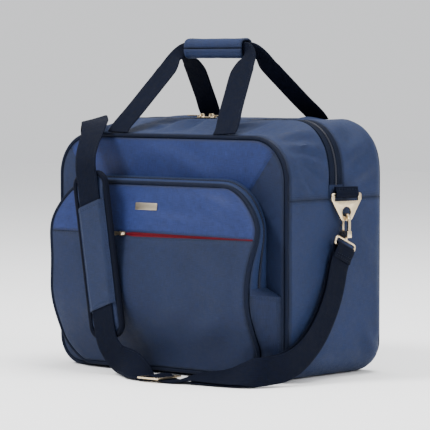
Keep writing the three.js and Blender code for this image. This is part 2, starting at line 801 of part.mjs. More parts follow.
function buildAccent() {
  const edge = () => 2 * pocketPipingRadius + 1.2;
  const half = accentOpening / 2 - seamGap;
  const heights = [accentHeight - half, accentHeight + half];
  const tape = facePanel(heights, edge, pocketPanelWall - accentRecess, accentRecess);
  add('accent_zip_tape', tape, fabric(accentRed));
  const face = pocketFaceY(accentHeight - accentSliderReach) + accentRecess;
  addSlider('accent_zip', vec(accentSliderX, face, accentHeight), vec(1, 0, 0), vec(0, -1, 0), {
    width: accentOpening - 3 * seamGap - 0.8, length: 11, pull: accentPullerLength, pullWidth: 5.4,
  });
}

function buildBadge() {
  const step = 1;
  const rise = pocketFaceY(badgeHeight + step) - pocketFaceY(badgeHeight - step);
  const shape = polygon(roundedShape(badgeWidth, badgeTall, 1.2, 2));
  const badge = add('badge', plateXZ(shape, badgeThickness), metal(paleGold, 0.35));
  const gap = badgeThickness / 2 + seamGap + 0.2;
  badge.position.set(badgeX, pocketFaceY(badgeHeight) - gap, badgeHeight);
  badge.rotation.x = -Math.atan2(rise, 2 * step);
}

// ---------------------------------------------------------------- carry handles

// One handle, from its right leg's base over the grip to its left leg's base. facing is -1 for
// the front handle and 1 for the rear one.
function handleStations(facing, baseY, baseZ) {
  const toMid = (share) => THREE.MathUtils.lerp(baseY, gripOffset * facing, share);
  const up = (share) => THREE.MathUtils.lerp(baseZ, gripHeight, share);
  const lean = [0, -facing * 0.75, -0.66];
  const upright = [0, -facing, 0];
  const narrow = gripWebbingHalf;
  const leg = [
    [handleSpacing, toMid(0), up(0), lean],
    [handleSpacing - 0.6, toMid(0.07), up(0.07), lean],
    [handleSpacing - 9, toMid(0.25), up(0.25), lean],
    [handleSpacing - 19, toMid(0.5), up(0.5), lean],
    [handleSpacing - 28, toMid(0.74), up(0.74), lean],
    [gripHalfLength + 15, toMid(0.9), up(0.9), [0, -facing * 0.9, -0.4], 12],
  ].map(([x, y, z, inner, half]) => station([x, y, z], inner, half));
  const shoulder = station([gripHalfLength + 4, toMid(1), up(0.985)], upright, narrow + 1, 4);
  const grip = [gripHalfLength * 0.8, 0].map((x) => (
    station([x, toMid(1), up(1)], upright, narrow, gripWebbingThickness)
  ));
  const right = [...leg, shoulder, ...grip];
  const flipX = (s) => ({ ...s, point: vec(-s.point.x, s.point.y, s.point.z) });
  const whole = [...right, ...right.slice(0, -1).reverse().map(flipX)];
  whole.forEach((s) => {
    const rise = (s.point.z - baseZ) / (gripHeight - baseZ);
    s.point.x += gripShift * rise;
  });
  return whole;
}

function buildHandles() {
  const frontBase = bodyHeight + 2 * seamGap + handleSeat;
  const rearY = rearDepth - rearEdgeRadius / 2 + 1;
  const rearBase = bodyHeight + topCrown + seamGap + handleSeat - rearRounding(rearY - 1.5);
  const front = webbing(handleStations(-1, -frontDepth + 2, frontBase), 44);
  const rear = webbing(handleStations(1, rearY, rearBase), 44);
  add('handle_front', front, fabric(webbingNavy));
  add('handle_rear', rear, fabric(webbingNavy));
}

// The fabric wrap round both grips: a J section whose open front top is closed by a flap.
function buildGripWrap() {
  const outer = roundedShape(2 * wrapHalfDepth, 2 * wrapHalfHeight, 6, 3);
  const inner = roundedShape(
    2 * (wrapHalfDepth - wrapThickness), 2 * (wrapHalfHeight - wrapThickness), 3.6, 3,
  );
  const ring = polygon(outer);
  ring.holes.push(new THREE.Path(inner.map(([x, z]) => new THREE.Vector2(x, z))));
  const length = 2 * gripHalfLength;
  const sleeve = plateYZ(ring, length, gripShift);
  const reach = 2 * wrapHalfHeight;
  const hingeY = wrapHalfDepth - wrapThickness - 1;
  const corner = box(length + 2, reach + hingeY, reach, gripShift,
    (hingeY - reach) / 2, reach / 2);
  const kept = box(length + 2, reach + hingeY - seamGap, reach, gripShift,
    (hingeY - seamGap - reach) / 2, reach / 2 + seamGap);
  const flap = geometryOf(solidOf(sleeve).intersect(solidOf(kept)));
  const wrap = add('grip_wrap', cut(sleeve, corner), fabric(bodyBlue));
  const flapMesh = add('grip_flap', flap, fabric(bodyBlue));
  wrap.position.z = gripHeight;
  flapMesh.position.z = gripHeight;
}

// ---------------------------------------------------------------- rings, hooks, strap ends

// Ring plate hanging from its bar on local X through the origin, with the strap hook's hole.
function ringGeometry() {
  const half = ringWidth / 2;
  const top = ringBar / 2;
  const shape = polygon([
    [-half + 2, top], [-half, 0], [-half, -ringSlotHeight], [-ringFootHalfWidth, 3 - ringHeight],
    [-ringFootHalfWidth + 3, top - ringHeight - 1], [ringFootHalfWidth - 3, top - ringHeight - 1],
    [ringFootHalfWidth, 3 - ringHeight], [half, -ringSlotHeight], [half, 0], [half - 2, top],
  ]);
  const slot = webbingWidth / 2 + 0.7;
  shape.holes.push(new THREE.Path([
    new THREE.Vector2(-slot, -top), new THREE.Vector2(-slot, -top - ringSlotHeight),
    new THREE.Vector2(slot, -top - ringSlotHeight), new THREE.Vector2(slot, -top),
  ]));
  const hole = new THREE.Path();
  hole.absarc(0, ringHoleCentre, ringHoleRadius, 0, 2 * Math.PI, true);
  shape.holes.push(hole);
  return plateXZ(shape, ringThickness);
}

const ringFoot = ringBar / 2 - ringHeight - 1;
const ringHoleCentre = ringFoot + ringRim + ringHoleRadius;
const hookSeat = ringFoot + ringRim + hookPlay;     // inside of the claw, over the ring's rim

// Webbing loop round a bar on local X: it rises from the bar to a sewn end along local Z.
function loopGeometry(length) {
  const outer = [...arc(0, length, tabWallRadius, 0, 180, 5), ...arc(0, 0, tabWallRadius, 180, 360, 5)];
  const inner = [...arc(0, length - 4, tabBoreRadius, 0, 180, 5),
    ...arc(0, 0, tabBoreRadius, 180, 360, 5)];
  const shape = polygon(outer.map((p) => [p.x, p.z]));
  shape.holes.push(new THREE.Path(inner.map((p) => new THREE.Vector2(p.x, p.z))));
  return plateYZ(shape, webbingWidth);
}

// Snap hook in the local XZ plane: its claw's inside top is at the origin, its gate on -X.
const hookHalf = hookInnerWidth / 2 + hookWire / 2;
const blockTop = -hookBodyLength + 4;
const blockFoot = blockTop - hookBlockLength;
const gateFoot = blockTop - 2;

function hookGeometry() {
  const outerReach = hookInnerWidth / 2 + hookWire;
  const bow = new THREE.Shape();
  bow.moveTo(outerReach, -hookBodyLength);
  bow.lineTo(outerReach, -hookInnerWidth / 2);
  bow.absarc(0, -hookInnerWidth / 2, outerReach, 0, Math.PI, false);
  bow.lineTo(-outerReach, -hookNoseLength);
  bow.lineTo(-hookInnerWidth / 2, -hookNoseLength);
  bow.absarc(0, -hookInnerWidth / 2, hookInnerWidth / 2, Math.PI, 0, true);
  bow.lineTo(hookInnerWidth / 2, -hookBodyLength);
  const claw = plateXZ(bow, hookWire);
  const block = box(2 * outerReach, hookWire + 3, hookBlockLength, 0, 0,
    blockTop - hookBlockLength / 2);
  const bore = gateRadius + gateClearance;
  const gateBore = rodZ(bore, gateFoot - gateTravel - 1, blockTop + 1, -hookHalf);
  const swivelBore = rodZ(eyeShaftRadius + gateClearance, blockFoot - 1, blockTop - 2, 0);
  return cut(join(claw, block), gateBore, swivelBore);
}

function gateGeometry() {
  const to = -hookNoseLength - seamGap;
  const thumb = box(3.4, 3.4, 3, -hookHalf - 1.2, 0, blockTop + gateTravel + 2.2);
  return join(rodZ(gateRadius, gateFoot, to, -hookHalf), thumb);
}

// Wire eye for the strap. Its swivel shaft stands up local Z, and its loop is in the YZ plane.
function eyeGeometry(tilt) {
  const x = eyeWidth / 2;
  const loop = [...arc(x - 4, 4 - eyeHeight, 4, -90, 0, 3), ...arc(x - 4, -4, 4, 0, 90, 3),
    ...arc(4 - x, -4, 4, 90, 180, 3), ...arc(4 - x, 4 - eyeHeight, 4, 180, 270, 3)];
  const path = loop.map((p) => vec(0, p.x, p.z));
  const wire = ringCord(path, eyeWireRadius, vec(1, 0, 0));
  wire.rotateX(radians(-tilt));
  return join(wire, rodZ(eyeShaftRadius, -0.5, eyeShaftLength));
}

// One side's ring, hook, gate, eye and strap end. ringTurn and hookTurn are the rotations (Euler
// degrees, order ZYX) of the ring and of what hangs from it.
function buildSideHardware(name, at, ringTurn, hookTurn, tilt) {
  const ringFrame = frameAt(bag, at, ringTurn);
  add(`side_tab_${name}`, loopGeometry(tabRise), fabric(webbingNavy), ringFrame);
  add(`ring_${name}`, ringGeometry(), metal(), ringFrame);

  ringFrame.updateMatrixWorld(true);
  const seat = ringFrame.localToWorld(vec(0, 0, hookSeat));
  const chain = frameAt(bag, seat.toArray(), hookTurn);
  const hookFrame = frameAt(chain, [0, 0, 0], [0, 0, hookYaw]);
  add(`hook_${name}`, hookGeometry(), metal(), hookFrame);
  add(`gate_${name}`, gateGeometry(), metal(), hookFrame);

  const eyeFrame = frameAt(chain, [0, 0, blockFoot - eyeDrop], [0, 0, 0]);
  add(`eye_${name}`, eyeGeometry(tilt), metal(), eyeFrame);
  const tilted = frameAt(eyeFrame, [0, 0, 0], [-tilt, 0, 0]);
  const end = add(`strap_end_${name}`, loopGeometry(strapEndLength), fabric(webbingNavy), tilted);
  end.position.z = -eyeHeight;
  end.rotation.set(Math.PI, 0, Math.PI / 2);
}

function frameAt(parent, position, turn) {
  const frame = new THREE.Group();
  frame.position.set(...position);
  frame.rotation.set(...turn.map(radians), 'ZYX');
  parent.add(frame);
  return frame;
}

function buildHardware() {
  buildSideHardware('right', [hardwareX, hardwareY, ringBarHeight], [0, 0, ringYaw], [0, 0, 0],
    eyeTilt);
  buildSideHardware('left', [-hardwareX, hardwareY, ringBarHeight], [180, 0, -ringYaw],
    [-150, 10, 0], -eyeTilt);
}

// ---------------------------------------------------------------- shoulder strap and pad

const strapPlaneY = padCentre[1] - padThickness / 2 - layerGap - webbingThickness / 2;

function padPoint(along) {
  const lean = radians(padLean);
  return [padCentre[0] - along * Math.sin(lean), strapPlaneY, padCentre[2] + along * Math.cos(lean)];
}

// The strap's route from the right hook down to the floor, up behind the pad's sleeve and over
// the bag's top left corner to the left hook. Each row is a point and the way its inner face looks.
const webbingHalf = webbingWidth / 2;
const doubledRoute = [
  [[hardwareX, -6, ringBarHeight - 95], [-1, 0, 0]],
  [[hardwareX + 0.5, -20, ringBarHeight - 137], [-1, 0, 0]],
  [[hardwareX + 1.5, 55 - frontDepth, 68], [-1, 0, 0]],
  [[hardwareX + 3.5, 15 - frontDepth, webbingHalf + 19], [-1, 0, 0]],
  [[hardwareX + 2.5, -frontDepth - 21, webbingHalf + 6.5], [-0.95, 0.25, 0]],
  [[hardwareX - 6.5, -frontDepth - 51, webbingHalf + 3], [-0.5, 0.85, 0]],
  [[hardwareX - 32.5, -frontDepth - 65, webbingHalf], [0, 0.75, -0.65]],
  [[hardwareX - 68.5, adjusterY + 13, webbingHalf * 0.5 + 3.5], [0, 0.4, -0.9]],
  [[adjusterX + 58, adjusterY + 10, webbingHalf * 0.4 + 1.9], [0, 0.2, -1]],
];
const floorZ = 2.6;
const singleRoute = [
  [[adjusterX + adjusterPitch + adjusterRun, adjusterY + 1, floorZ], [0, 0, -1]],
  [[adjusterX + adjusterPitch, adjusterY, floorZ], [0, 0, -1]],
  [[adjusterX, adjusterY, 9.2], [0, 0, -1]],
  [[adjusterX - adjusterPitch, adjusterY, floorZ], [0, 0, -1]],
  [[adjusterX - adjusterPitch - adjusterRun, adjusterY + 1, 3.2], [0, 0, -1]],
  [[adjusterX - 62, adjusterY + 10, webbingHalf - 1], [0, 0.8, -0.55]],
  [[padX + 40, strapPlaneY, webbingHalf + 6], [0, 1, -0.05]],
  [[padX + 22, strapPlaneY, 44], [0, 1, 0]],
  [padPoint(-98), [0, 1, 0]],
  [padPoint(-60), [0, 1, 0]],
  [padPoint(0), [0, 1, 0]],
  [padPoint(60), [0, 1, 0]],
  [padPoint(101), [0, 1, 0]],
  [[padX - 20.5, strapPlaneY + 1, padCentre[2] + 125], [0, 1, -0.1]],
  [[padX - 29, -frontDepth - 51, bodyHeight - 21], [0, 0.85, -0.5]],
  [[padX - 42, -frontDepth - 28, bodyHeight - 2], [0, 0.65, -0.75]],
  [[72 - bodyHalf, -frontDepth - 2, bodyHeight + 11], [0.1, 0.3, -0.95]],
  [[50 - bodyHalf, 21 - frontDepth, bodyHeight + 16], [0.15, 0.05, -1]],
  [[20 - bodyHalf, -55, bodyHeight + 16], [0.5, 0, -0.85]],
  [[-1 - bodyHalf, -39, ringBarHeight + 82], [0.95, 0, -0.3]],
];

function route(rows) {
  return rows.map(([point, inner]) => station(point, inner));
}

function buildShoulderStrap() {
  const rows = [...doubledRoute, ...singleRoute];
  add('shoulder_strap', webbing(route(rows), 120), fabric(webbingNavy));
  const back = webbing(route(doubledRoute), 34, webbingThickness + layerGap);
  add('strap_return', back, fabric(webbingNavy));
}

function buildAdjuster() {
  const length = 2 * adjusterPitch + adjusterBar;
  const width = webbingWidth + 2 * adjusterBar + adjusterPlay;
  const frame = box(length, width, adjusterThickness);
  const slot = adjusterPitch - adjusterBar;
  const windows = [-1, 1].map((sign) => (
    box(slot, webbingWidth + adjusterPlay, 3 * adjusterThickness, sign * adjusterPitch / 2, 0, 0)
  ));
  const mesh = add('strap_adjuster', cut(frame, ...windows), metal());
  mesh.position.set(adjusterX, adjusterY, adjusterFloor + adjusterThickness / 2);
}

function buildPad() {
  const pad = frameAt(bag, padCentre, [0, -padLean, 0]);
  const coreWidth = padWidth - 2 * bindingWidth - 2 * seamGap;
  const coreLength = padLength - 2 * bindingWidth - 2 * seamGap;
  const coreRadius = padCornerRadius - bindingWidth - seamGap;
  const core = plateXZ(polygon(roundedShape(coreWidth, coreLength, coreRadius)), padThickness);
  add('shoulder_pad', core, fabric(bodyBlue), pad);

  const rim = polygon(roundedShape(padWidth, padLength, padCornerRadius));
  rim.holes.push(new THREE.Path(roundedShape(
    padWidth - 2 * bindingWidth, padLength - 2 * bindingWidth, padCornerRadius - bindingWidth,
  ).map(([x, z]) => new THREE.Vector2(x, z))));
  add('pad_binding', plateXZ(rim, bindingDepth), fabric(webbingNavy), pad);

  const channel = webbingWidth / 2 + layerGap;
  const outer = channel + sleeveFlange;
  const foot = -padThickness / 2 - seamGap;
  const crest = foot - (webbingThickness + 2 * layerGap + sleeveThickness - seamGap);
  const under = crest + sleeveThickness;
  const section = new THREE.Shape([
    [-outer, foot], [-channel, foot], [-channel, under], [channel, under], [channel, foot],
    [outer, foot], [outer, foot - 1.4], [channel + 2, crest], [-channel - 2, crest],
    [-outer, foot - 1.4],
  ].map(([x, y]) => new THREE.Vector2(x, y)));
  const sleeve = new THREE.ExtrudeGeometry(section, { depth: sleeveLength, bevelEnabled: false });
  sleeve.translate(0, 0, -sleeveLength / 2);
  add('pad_sleeve', sleeve, fabric(bodyBlue), pad);
}

// ---------------------------------------------------------------- assembly

buildMainCompartment();
buildMainZip();
buildMainSliders();
buildPocket();
buildPocketSliders();
buildAccent();
buildBadge();
buildHandles();
buildGripWrap();
buildHardware();
buildShoulderStrap();
buildAdjuster();
buildPad();

export default bag;
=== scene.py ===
"""A soft cabin flight bag: cloth panels, welts, zips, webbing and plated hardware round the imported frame.

Lengths are in millimetres in this script and become metres where a mesh is made.
"""

import json
import math

import bmesh
import bpy
import numpy as np
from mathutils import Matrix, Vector, noise

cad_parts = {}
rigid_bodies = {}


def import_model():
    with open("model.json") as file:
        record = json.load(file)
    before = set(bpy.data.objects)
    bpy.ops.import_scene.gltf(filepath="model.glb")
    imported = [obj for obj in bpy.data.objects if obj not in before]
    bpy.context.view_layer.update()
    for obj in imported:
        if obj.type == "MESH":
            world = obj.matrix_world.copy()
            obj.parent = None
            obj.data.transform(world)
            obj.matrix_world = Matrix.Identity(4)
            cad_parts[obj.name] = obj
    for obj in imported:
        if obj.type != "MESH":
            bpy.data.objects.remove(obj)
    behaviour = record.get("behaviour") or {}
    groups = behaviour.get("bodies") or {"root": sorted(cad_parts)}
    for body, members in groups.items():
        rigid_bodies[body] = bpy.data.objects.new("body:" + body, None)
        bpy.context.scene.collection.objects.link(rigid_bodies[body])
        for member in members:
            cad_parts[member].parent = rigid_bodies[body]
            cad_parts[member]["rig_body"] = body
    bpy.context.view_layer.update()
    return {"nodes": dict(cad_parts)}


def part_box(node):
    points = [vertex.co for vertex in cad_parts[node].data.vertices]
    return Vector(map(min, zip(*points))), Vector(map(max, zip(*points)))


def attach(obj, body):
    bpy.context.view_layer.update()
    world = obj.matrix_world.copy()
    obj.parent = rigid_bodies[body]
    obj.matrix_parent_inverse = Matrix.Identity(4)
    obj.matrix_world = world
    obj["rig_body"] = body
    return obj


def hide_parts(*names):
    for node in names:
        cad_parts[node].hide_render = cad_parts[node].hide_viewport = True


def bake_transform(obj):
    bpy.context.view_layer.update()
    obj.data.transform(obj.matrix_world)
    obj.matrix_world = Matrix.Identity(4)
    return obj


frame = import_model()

# ---------------------------------------------------------------- sizes read from the frame

MM = 0.001
NODES = frame["nodes"]


def low(node):
    return np.array(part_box(node)[0]) / MM


def high(node):
    return np.array(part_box(node)[1]) / MM


BODY_HALF = high("lower_gusset")[0]
FRONT = low("front_piping")[1]
REAR = high("back_panel")[1]
TOP = high("front_piping")[2]
CROWN = high("upper_gusset_rear")[2] - TOP
SEAM_Z = high("lower_gusset")[2]
ZIP_END_Z = low("main_zip_coil")[2]
POCKET_TOP = high("pocket_piping")[2]
POCKET_BOTTOM = low("pocket_piping")[2]
POCKET_DEPTH = FRONT - low("pocket_piping")[1]
ACCENT_Z = (low("accent_zip_tape")[2] + high("accent_zip_tape")[2]) / 2
GRIP_Z = (low("grip_wrap")[2] + high("grip_flap")[2]) / 2
RING_BAR_Z = low("side_tab_right")[2] + 5.2

CROWN_RUN = 95
TOP_RADIUS = 60
BOTTOM_RADIUS = 42
REAR_RADIUS = 22
PANEL = 2.6                 # cloth on foam
PIPING_RADIUS = 3
TAPE_WIDTH = 10
COIL_HALF = 3
SEAM_GAP = 0.3              # air between sewn panels, as in the CAD
REAR_EDGE = REAR - 4.3      # where the gussets meet the back panel
HANDLE_INSET = 52           # from the top corner's arc to the handle's leg
GRIP_HALF_Y = 12.4
GRIP_HALF_Z = 13.8

POCKET_HALF = BODY_HALF - 28
POCKET_CHEEK = 10
POCKET_CHEEK_Z = POCKET_TOP - 66
POCKET_CHEEK_SPREAD = 36
POCKET_TOP_RADIUS = 64
POCKET_BOTTOM_RADIUS = 48
POCKET_BOTTOM_DEPTH = 14
POCKET_TOP_DEPTH = 32
POCKET_FULL_Z = 115
POCKET_ROOT_HALF = POCKET_HALF - 6
POCKET_ROOT_RISE = 6
POCKET_ROOT_RADIUS = 74
POCKET_FLARE_HALF = BODY_HALF - 8
POCKET_ZIP_SHARE = 0.54
POCKET_ZIP_RIGHT = 122
POCKET_ZIP_LEFT = 34

WEBBING_HALF = 19
WEBBING_THICK = 2.2

# ---------------------------------------------------------------- numbers and curves


def smooth(x, a, b):
    t = np.clip((x - a) / (b - a), 0, 1)
    return t * t * (3 - 2 * t)


def mix(a, b, t):
    return a + (b - a) * t


def unit(v):
    return v / np.maximum(np.linalg.norm(v, axis=-1, keepdims=True), 1e-9)


def bell(distance, reach):
    """1 where there is no distance, fading to nothing a little past twice the reach."""
    return np.exp(-(distance / reach) ** 2)


def perlin(points, scale, seed=0.0):
    """Smooth noise from -1 to 1 at each point, with features of about scale millimetres."""
    flat = points.reshape(-1, 3) / scale
    offset = Vector((seed * 7.1, seed * 3.7, seed * 5.3))
    values = [noise.noise(Vector(p) + offset) for p in flat]
    return np.array(values).reshape(points.shape[:-1])


def eased_steps(a, b, step, edge=2.2):
    """Positions from a to b about step apart, with closer ones near both ends."""
    length = abs(b - a)
    inner = max(2, int(length / step))
    close = [0, edge * 0.35, edge * 0.8, edge * 1.5, edge * 2.4]
    middle = np.linspace(edge * 3.6, length - edge * 3.6, inner)
    places = np.concatenate([close, middle, [length - c for c in reversed(close)]])
    return a + np.sign(b - a) * places


def catmull(points, t, centripetal=True):
    """Point at share t of an open Catmull-Rom curve through the points."""
    count = len(points)
    place = (count - 1) * t
    i = min(int(place), count - 2)
    w = place - i
    p1, p2 = points[i], points[i + 1]
    p0 = points[i - 1] if i > 0 else 2 * points[0] - points[1]
    p3 = points[i + 2] if i + 2 < count else 2 * points[-1] - points[-2]
    if centripetal:
        d0, d1, d2 = (max(np.linalg.norm(b - a), 1e-4) ** 0.5 for a, b in ((p0, p1), (p1, p2), (p2, p3)))
        m1 = ((p1 - p0) / d0 - (p2 - p0) / (d0 + d1) + (p2 - p1) / d1) * d1
        m2 = ((p2 - p1) / d1 - (p3 - p1) / (d1 + d2) + (p3 - p2) / d2) * d1
    else:
        m1, m2 = (p2 - p0) / 2, (p3 - p1) / 2
    c2 = -3 * p1 + 3 * p2 - 2 * m1 - m2
    c3 = 2 * p1 - 2 * p2 + m1 + m2
    return p1 + m1 * w + c2 * w ** 2 + c3 * w ** 3


def arc(cx, cz, radius, start, stop, steps=16):
    """Outline rows x, z, nx, nz round an arc. Angles are in degrees."""
    a = np.radians(np.linspace(start, stop, steps + 1))
    return np.stack([cx + radius * np.cos(a), cz + radius * np.sin(a), np.cos(a), np.sin(a)], 1)


def straight(x, z0, z1, step=5.0):
    z = np.linspace(z0, z1, max(2, int(abs(z1 - z0) / step)) + 1)
    return np.stack([np.full_like(z, x), z, np.full_like(z, np.sign(x)), np.zeros_like(z)], 1)


def level_rows(z, x0, x1, nz, count):
    x = np.linspace(x0, x1, count + 1)
    return np.stack([x, np.full_like(x, z), np.zeros_like(x), np.full_like(x, nz)], 1)


def level(z, x0, x1, nz, step=5.0):
    return level_rows(z, x0, x1, nz, max(2, int(abs(x1 - x0) / step)))


def chain(*parts):
    rows = [parts[0]]
    for part in parts[1:]:
        rows.append(part[1:] if np.allclose(part[0][:2], rows[-1][-1][:2], atol=1e-6) else part)
    return np.concatenate(rows)


# ---------------------------------------------------------------- meshes


def link(name, points, faces, material, uv=None, seam_shade=None, sharp=50):
    mesh = bpy.data.meshes.new(name)
    mesh.from_pydata((np.asarray(points) * MM).tolist(), [], [[int(v) for v in face] for face in faces])
    mesh.polygons.foreach_set("use_smooth", [True] * len(mesh.polygons))
    mesh.set_sharp_from_angle(angle=math.radians(sharp))
    if uv is not None:
        layer = mesh.uv_layers.new(name="UVMap")
        loops = np.zeros(len(mesh.loops), int)
        mesh.loops.foreach_get("vertex_index", loops)
        layer.data.foreach_set("uv", (uv[loops] * MM).astype(np.float32).ravel())
    # Per-point painted shade, highest at seams and panel edges; the cloth materials darken their colour by
    # it.
    attribute = mesh.attributes.new("seam_shade", "FLOAT", "POINT")
    values = np.zeros(len(points)) if seam_shade is None else seam_shade
    attribute.data.foreach_set("value", np.asarray(values, np.float32))
    mesh.materials.append(material)
    obj = bpy.data.objects.new(name, mesh)
    bpy.context.scene.collection.objects.link(obj)
    return obj


def grid_faces(rows, columns, offset=0, loop=False, reverse=False):
    i, j = np.meshgrid(np.arange(rows if loop else rows - 1), np.arange(columns - 1), indexing="ij")
    a = i * columns + j
    b = ((i + 1) % rows) * columns + j
    quads = np.stack([a, b, b + 1, a + 1], -1).reshape(-1, 4) + offset
    return quads[:, ::-1] if reverse else quads


def normals(P):
    return unit(np.cross(np.gradient(P, axis=0), np.gradient(P, axis=1)))


def lengths(P):
    step = np.linalg.norm(np.diff(P, axis=0), axis=-1)
    return np.concatenate([[0], np.cumsum(step)])


def grid_uv(P):
    u = lengths(P[:, P.shape[1] // 2])
    v = lengths(P[P.shape[0] // 2])
    return np.stack(np.broadcast_arrays(u[:, None], v[None, :]), -1)


def rim_faces(rows, columns):
    count = rows * columns
    edge = [(i, 0) for i in range(rows)]
    edge += [(rows - 1, j) for j in range(1, columns)]
    edge += [(i, columns - 1) for i in range(rows - 2, -1, -1)]
    edge += [(0, j) for j in range(columns - 2, 0, -1)]
    index = [i * columns + j for i, j in edge]
    after = index[1:] + index[:1]
    return [[a, a + count, b + count, b] for a, b in zip(index, after)]


def facing_normals(P, axis, sign):
    N = np.zeros_like(P)
    N[..., axis] = sign
    return N


def outward(P, centre=(0, 0, 160)):
    N = normals(P)
    away = unit(P - np.array(centre))
    return N if (N * away).sum() > 0 else -N


def cloth_shell(name, P, slot, thick=PANEL, seam_shade=None, N=None):
    """A cloth panel: a grid of outer points, thickened away from its outward normals."""
    N = outward(P) if N is None else N
    rows, columns = P.shape[:2]
    count = rows * columns
    points = np.concatenate([P.reshape(-1, 3), (P - N * thick).reshape(-1, 3)])
    reverse = (normals(P) * N).sum() < 0
    faces = [*grid_faces(rows, columns, reverse=reverse),
             *grid_faces(rows, columns, count, reverse=not reverse)]
    rim = rim_faces(rows, columns)
    faces += [r if reverse else r[::-1] for r in rim]
    uv = np.tile(grid_uv(P).reshape(-1, 2), (2, 1))
    shade = None if seam_shade is None else np.tile(np.asarray(seam_shade).ravel(), 2)
    return link(name, points, faces, MATERIALS[slot], uv, shade)


def ring_faces(count, sides, closed):
    """Faces between rings of points, with both ends filled when the row of rings is open."""
    i, j = np.meshgrid(np.arange(count if closed else count - 1), np.arange(sides), indexing="ij")
    k = (i + 1) % count
    after = (j + 1) % sides
    quads = np.stack([i * sides + j, i * sides + after, k * sides + after, k * sides + j], -1)
    faces = quads.reshape(-1, 4).tolist()
    if not closed:
        faces += [list(range(sides))[::-1], [(count - 1) * sides + n for n in range(sides)]]
    return faces


def tube(name, path, radius, material, sides, flat=1.0):
    """A closed cord along a level or upright loop. The flat value squeezes it along Y."""
    path = np.asarray(path, float)
    tangent = unit(np.roll(path, -1, 0) - np.roll(path, 1, 0))
    side = unit(np.cross(tangent, np.array((0, 1, 0), float)))
    lift = unit(np.cross(side, tangent))
    a = np.linspace(0, 2 * math.pi, sides, endpoint=False)
    ring = side[:, None] * np.cos(a)[None, :, None] + lift[:, None] * np.sin(a)[None, :, None] * flat
    points = (path[:, None] + ring * radius).reshape(-1, 3)
    faces = ring_faces(len(path), sides, True)
    uv = np.stack(np.broadcast_arrays(lengths(path)[:, None], (a * radius)[None, :]), -1)
    return link(name, points, faces, material, uv.reshape(-1, 2))


def ribbon_section(half, thick, columns=18, cup=0.0, rib=0.12):
    """Section of webbing: flat faces with fine ribs, a rounded thicker selvedge on each side."""
    u = np.linspace(-1, 1, columns)
    bow = cup * (1 - u ** 2)
    body = thick / 2 * (1 - np.abs(u) ** 14 * 0.55)
    ripple = rib * np.cos(u * math.pi * 7) * (np.abs(u) < 0.93)
    upper = np.stack([u * half, bow + body + ripple], 1)
    lower = np.stack([u[::-1] * half, bow[::-1] - body[::-1] - ripple[::-1]], 1)
    return np.concatenate([upper, lower])


def sweep_section(name, centres, across, inner, sections):
    """Webbing swept through sections given as rows of (across, inner) offsets."""
    sides = sections[0].shape[0]
    P = np.array([c + np.outer(s[:, 0], a) + np.outer(s[:, 1], n)
                  for c, a, n, s in zip(centres, across, inner, sections)])
    P[..., 2] = np.maximum(P[..., 2], 0.05)
    faces = ring_faces(len(P), sides, False)
    width = sections[0][:, 0]
    uv = np.stack(np.broadcast_arrays(lengths(np.array(centres))[:, None], width[None, :]), -1)
    obj = link(name, P.reshape(-1, 3), faces, MATERIALS["webbing"], uv.reshape(-1, 2), sharp=60)
    flip_if_inside_out(obj)
    return obj


def flip_if_inside_out(obj):
    mesh = obj.data
    volume = sum(p.center.dot(p.normal) * p.area for p in mesh.polygons)
    if volume < 0:
        mesh.flip_normals()


def ride(obj, body, *replaced):
    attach(obj, body)
    if replaced:
        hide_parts(*replaced)
    return obj


# ---------------------------------------------------------------- stitching

THREADS = {}


def stitch_line(path, normal, body, thread="thread_blue", length=3.0, gap=1.1, lift=0.1, width=0.42):
    """Thread stitches along a path that lies on cloth. They are gathered and made at the end."""
    path = np.asarray(path, float)
    normal = np.asarray(normal, float)
    run = lengths(path)
    total = run[-1]
    count = int(total / (length + gap))
    if count < 1:
        return
    starts = (np.arange(count) + 0.15) * total / count
    ends = starts + length
    sample = lambda s, data: np.stack([np.interp(s, run, data[:, k]) for k in range(3)], 1)
    a = sample(starts, path)
    b = sample(np.minimum(ends, total), path)
    n = unit(sample((starts + ends) / 2, normal))
    along = unit(b - a)
    side = np.cross(n, along)
    mid = (a + b) / 2 + n * lift
    offsets = [(-0.5, 0, 0), (-0.28, 1, 0.1), (0.28, 1, 0.1), (0.5, 0, 0), (0.28, -1, 0.1),
               (-0.28, -1, 0.1), (-0.25, 0, 1), (0.25, 0, 1)]
    span = np.linalg.norm(b - a, axis=1, keepdims=True)
    points = [mid + along * span * u + side * width / 2 * v + n * width * 0.6 * w
              for u, v, w in offsets]
    THREADS.setdefault((body, thread), []).append(np.stack(points, 1))


def stitch_ring(ring, facing, body, thread="thread_blue"):
    """Stitches round a closed row of points that faces along Y."""
    stitch_line(np.vstack([ring, ring[:1]]), np.tile([0, facing, 0], (len(ring) + 1, 1)), body, thread)


STITCH_FACES = [(0, 1, 6), (1, 2, 7, 6), (2, 3, 7), (3, 4, 7), (4, 5, 6, 7), (5, 0, 6),
                (0, 5, 4, 3, 2, 1)]


def make_stitches():
    for (body, thread), groups in THREADS.items():
        points = np.concatenate(groups)
        count = len(points)
        faces = [[v + 8 * i for v in face] for i in range(count) for face in STITCH_FACES]
        obj = link(f"stitching_{body}_{thread}", points.reshape(-1, 3), faces, MATERIALS[thread],
                   sharp=180)
        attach(obj, body)


# ---------------------------------------------------------------- materials

MATERIALS = {}


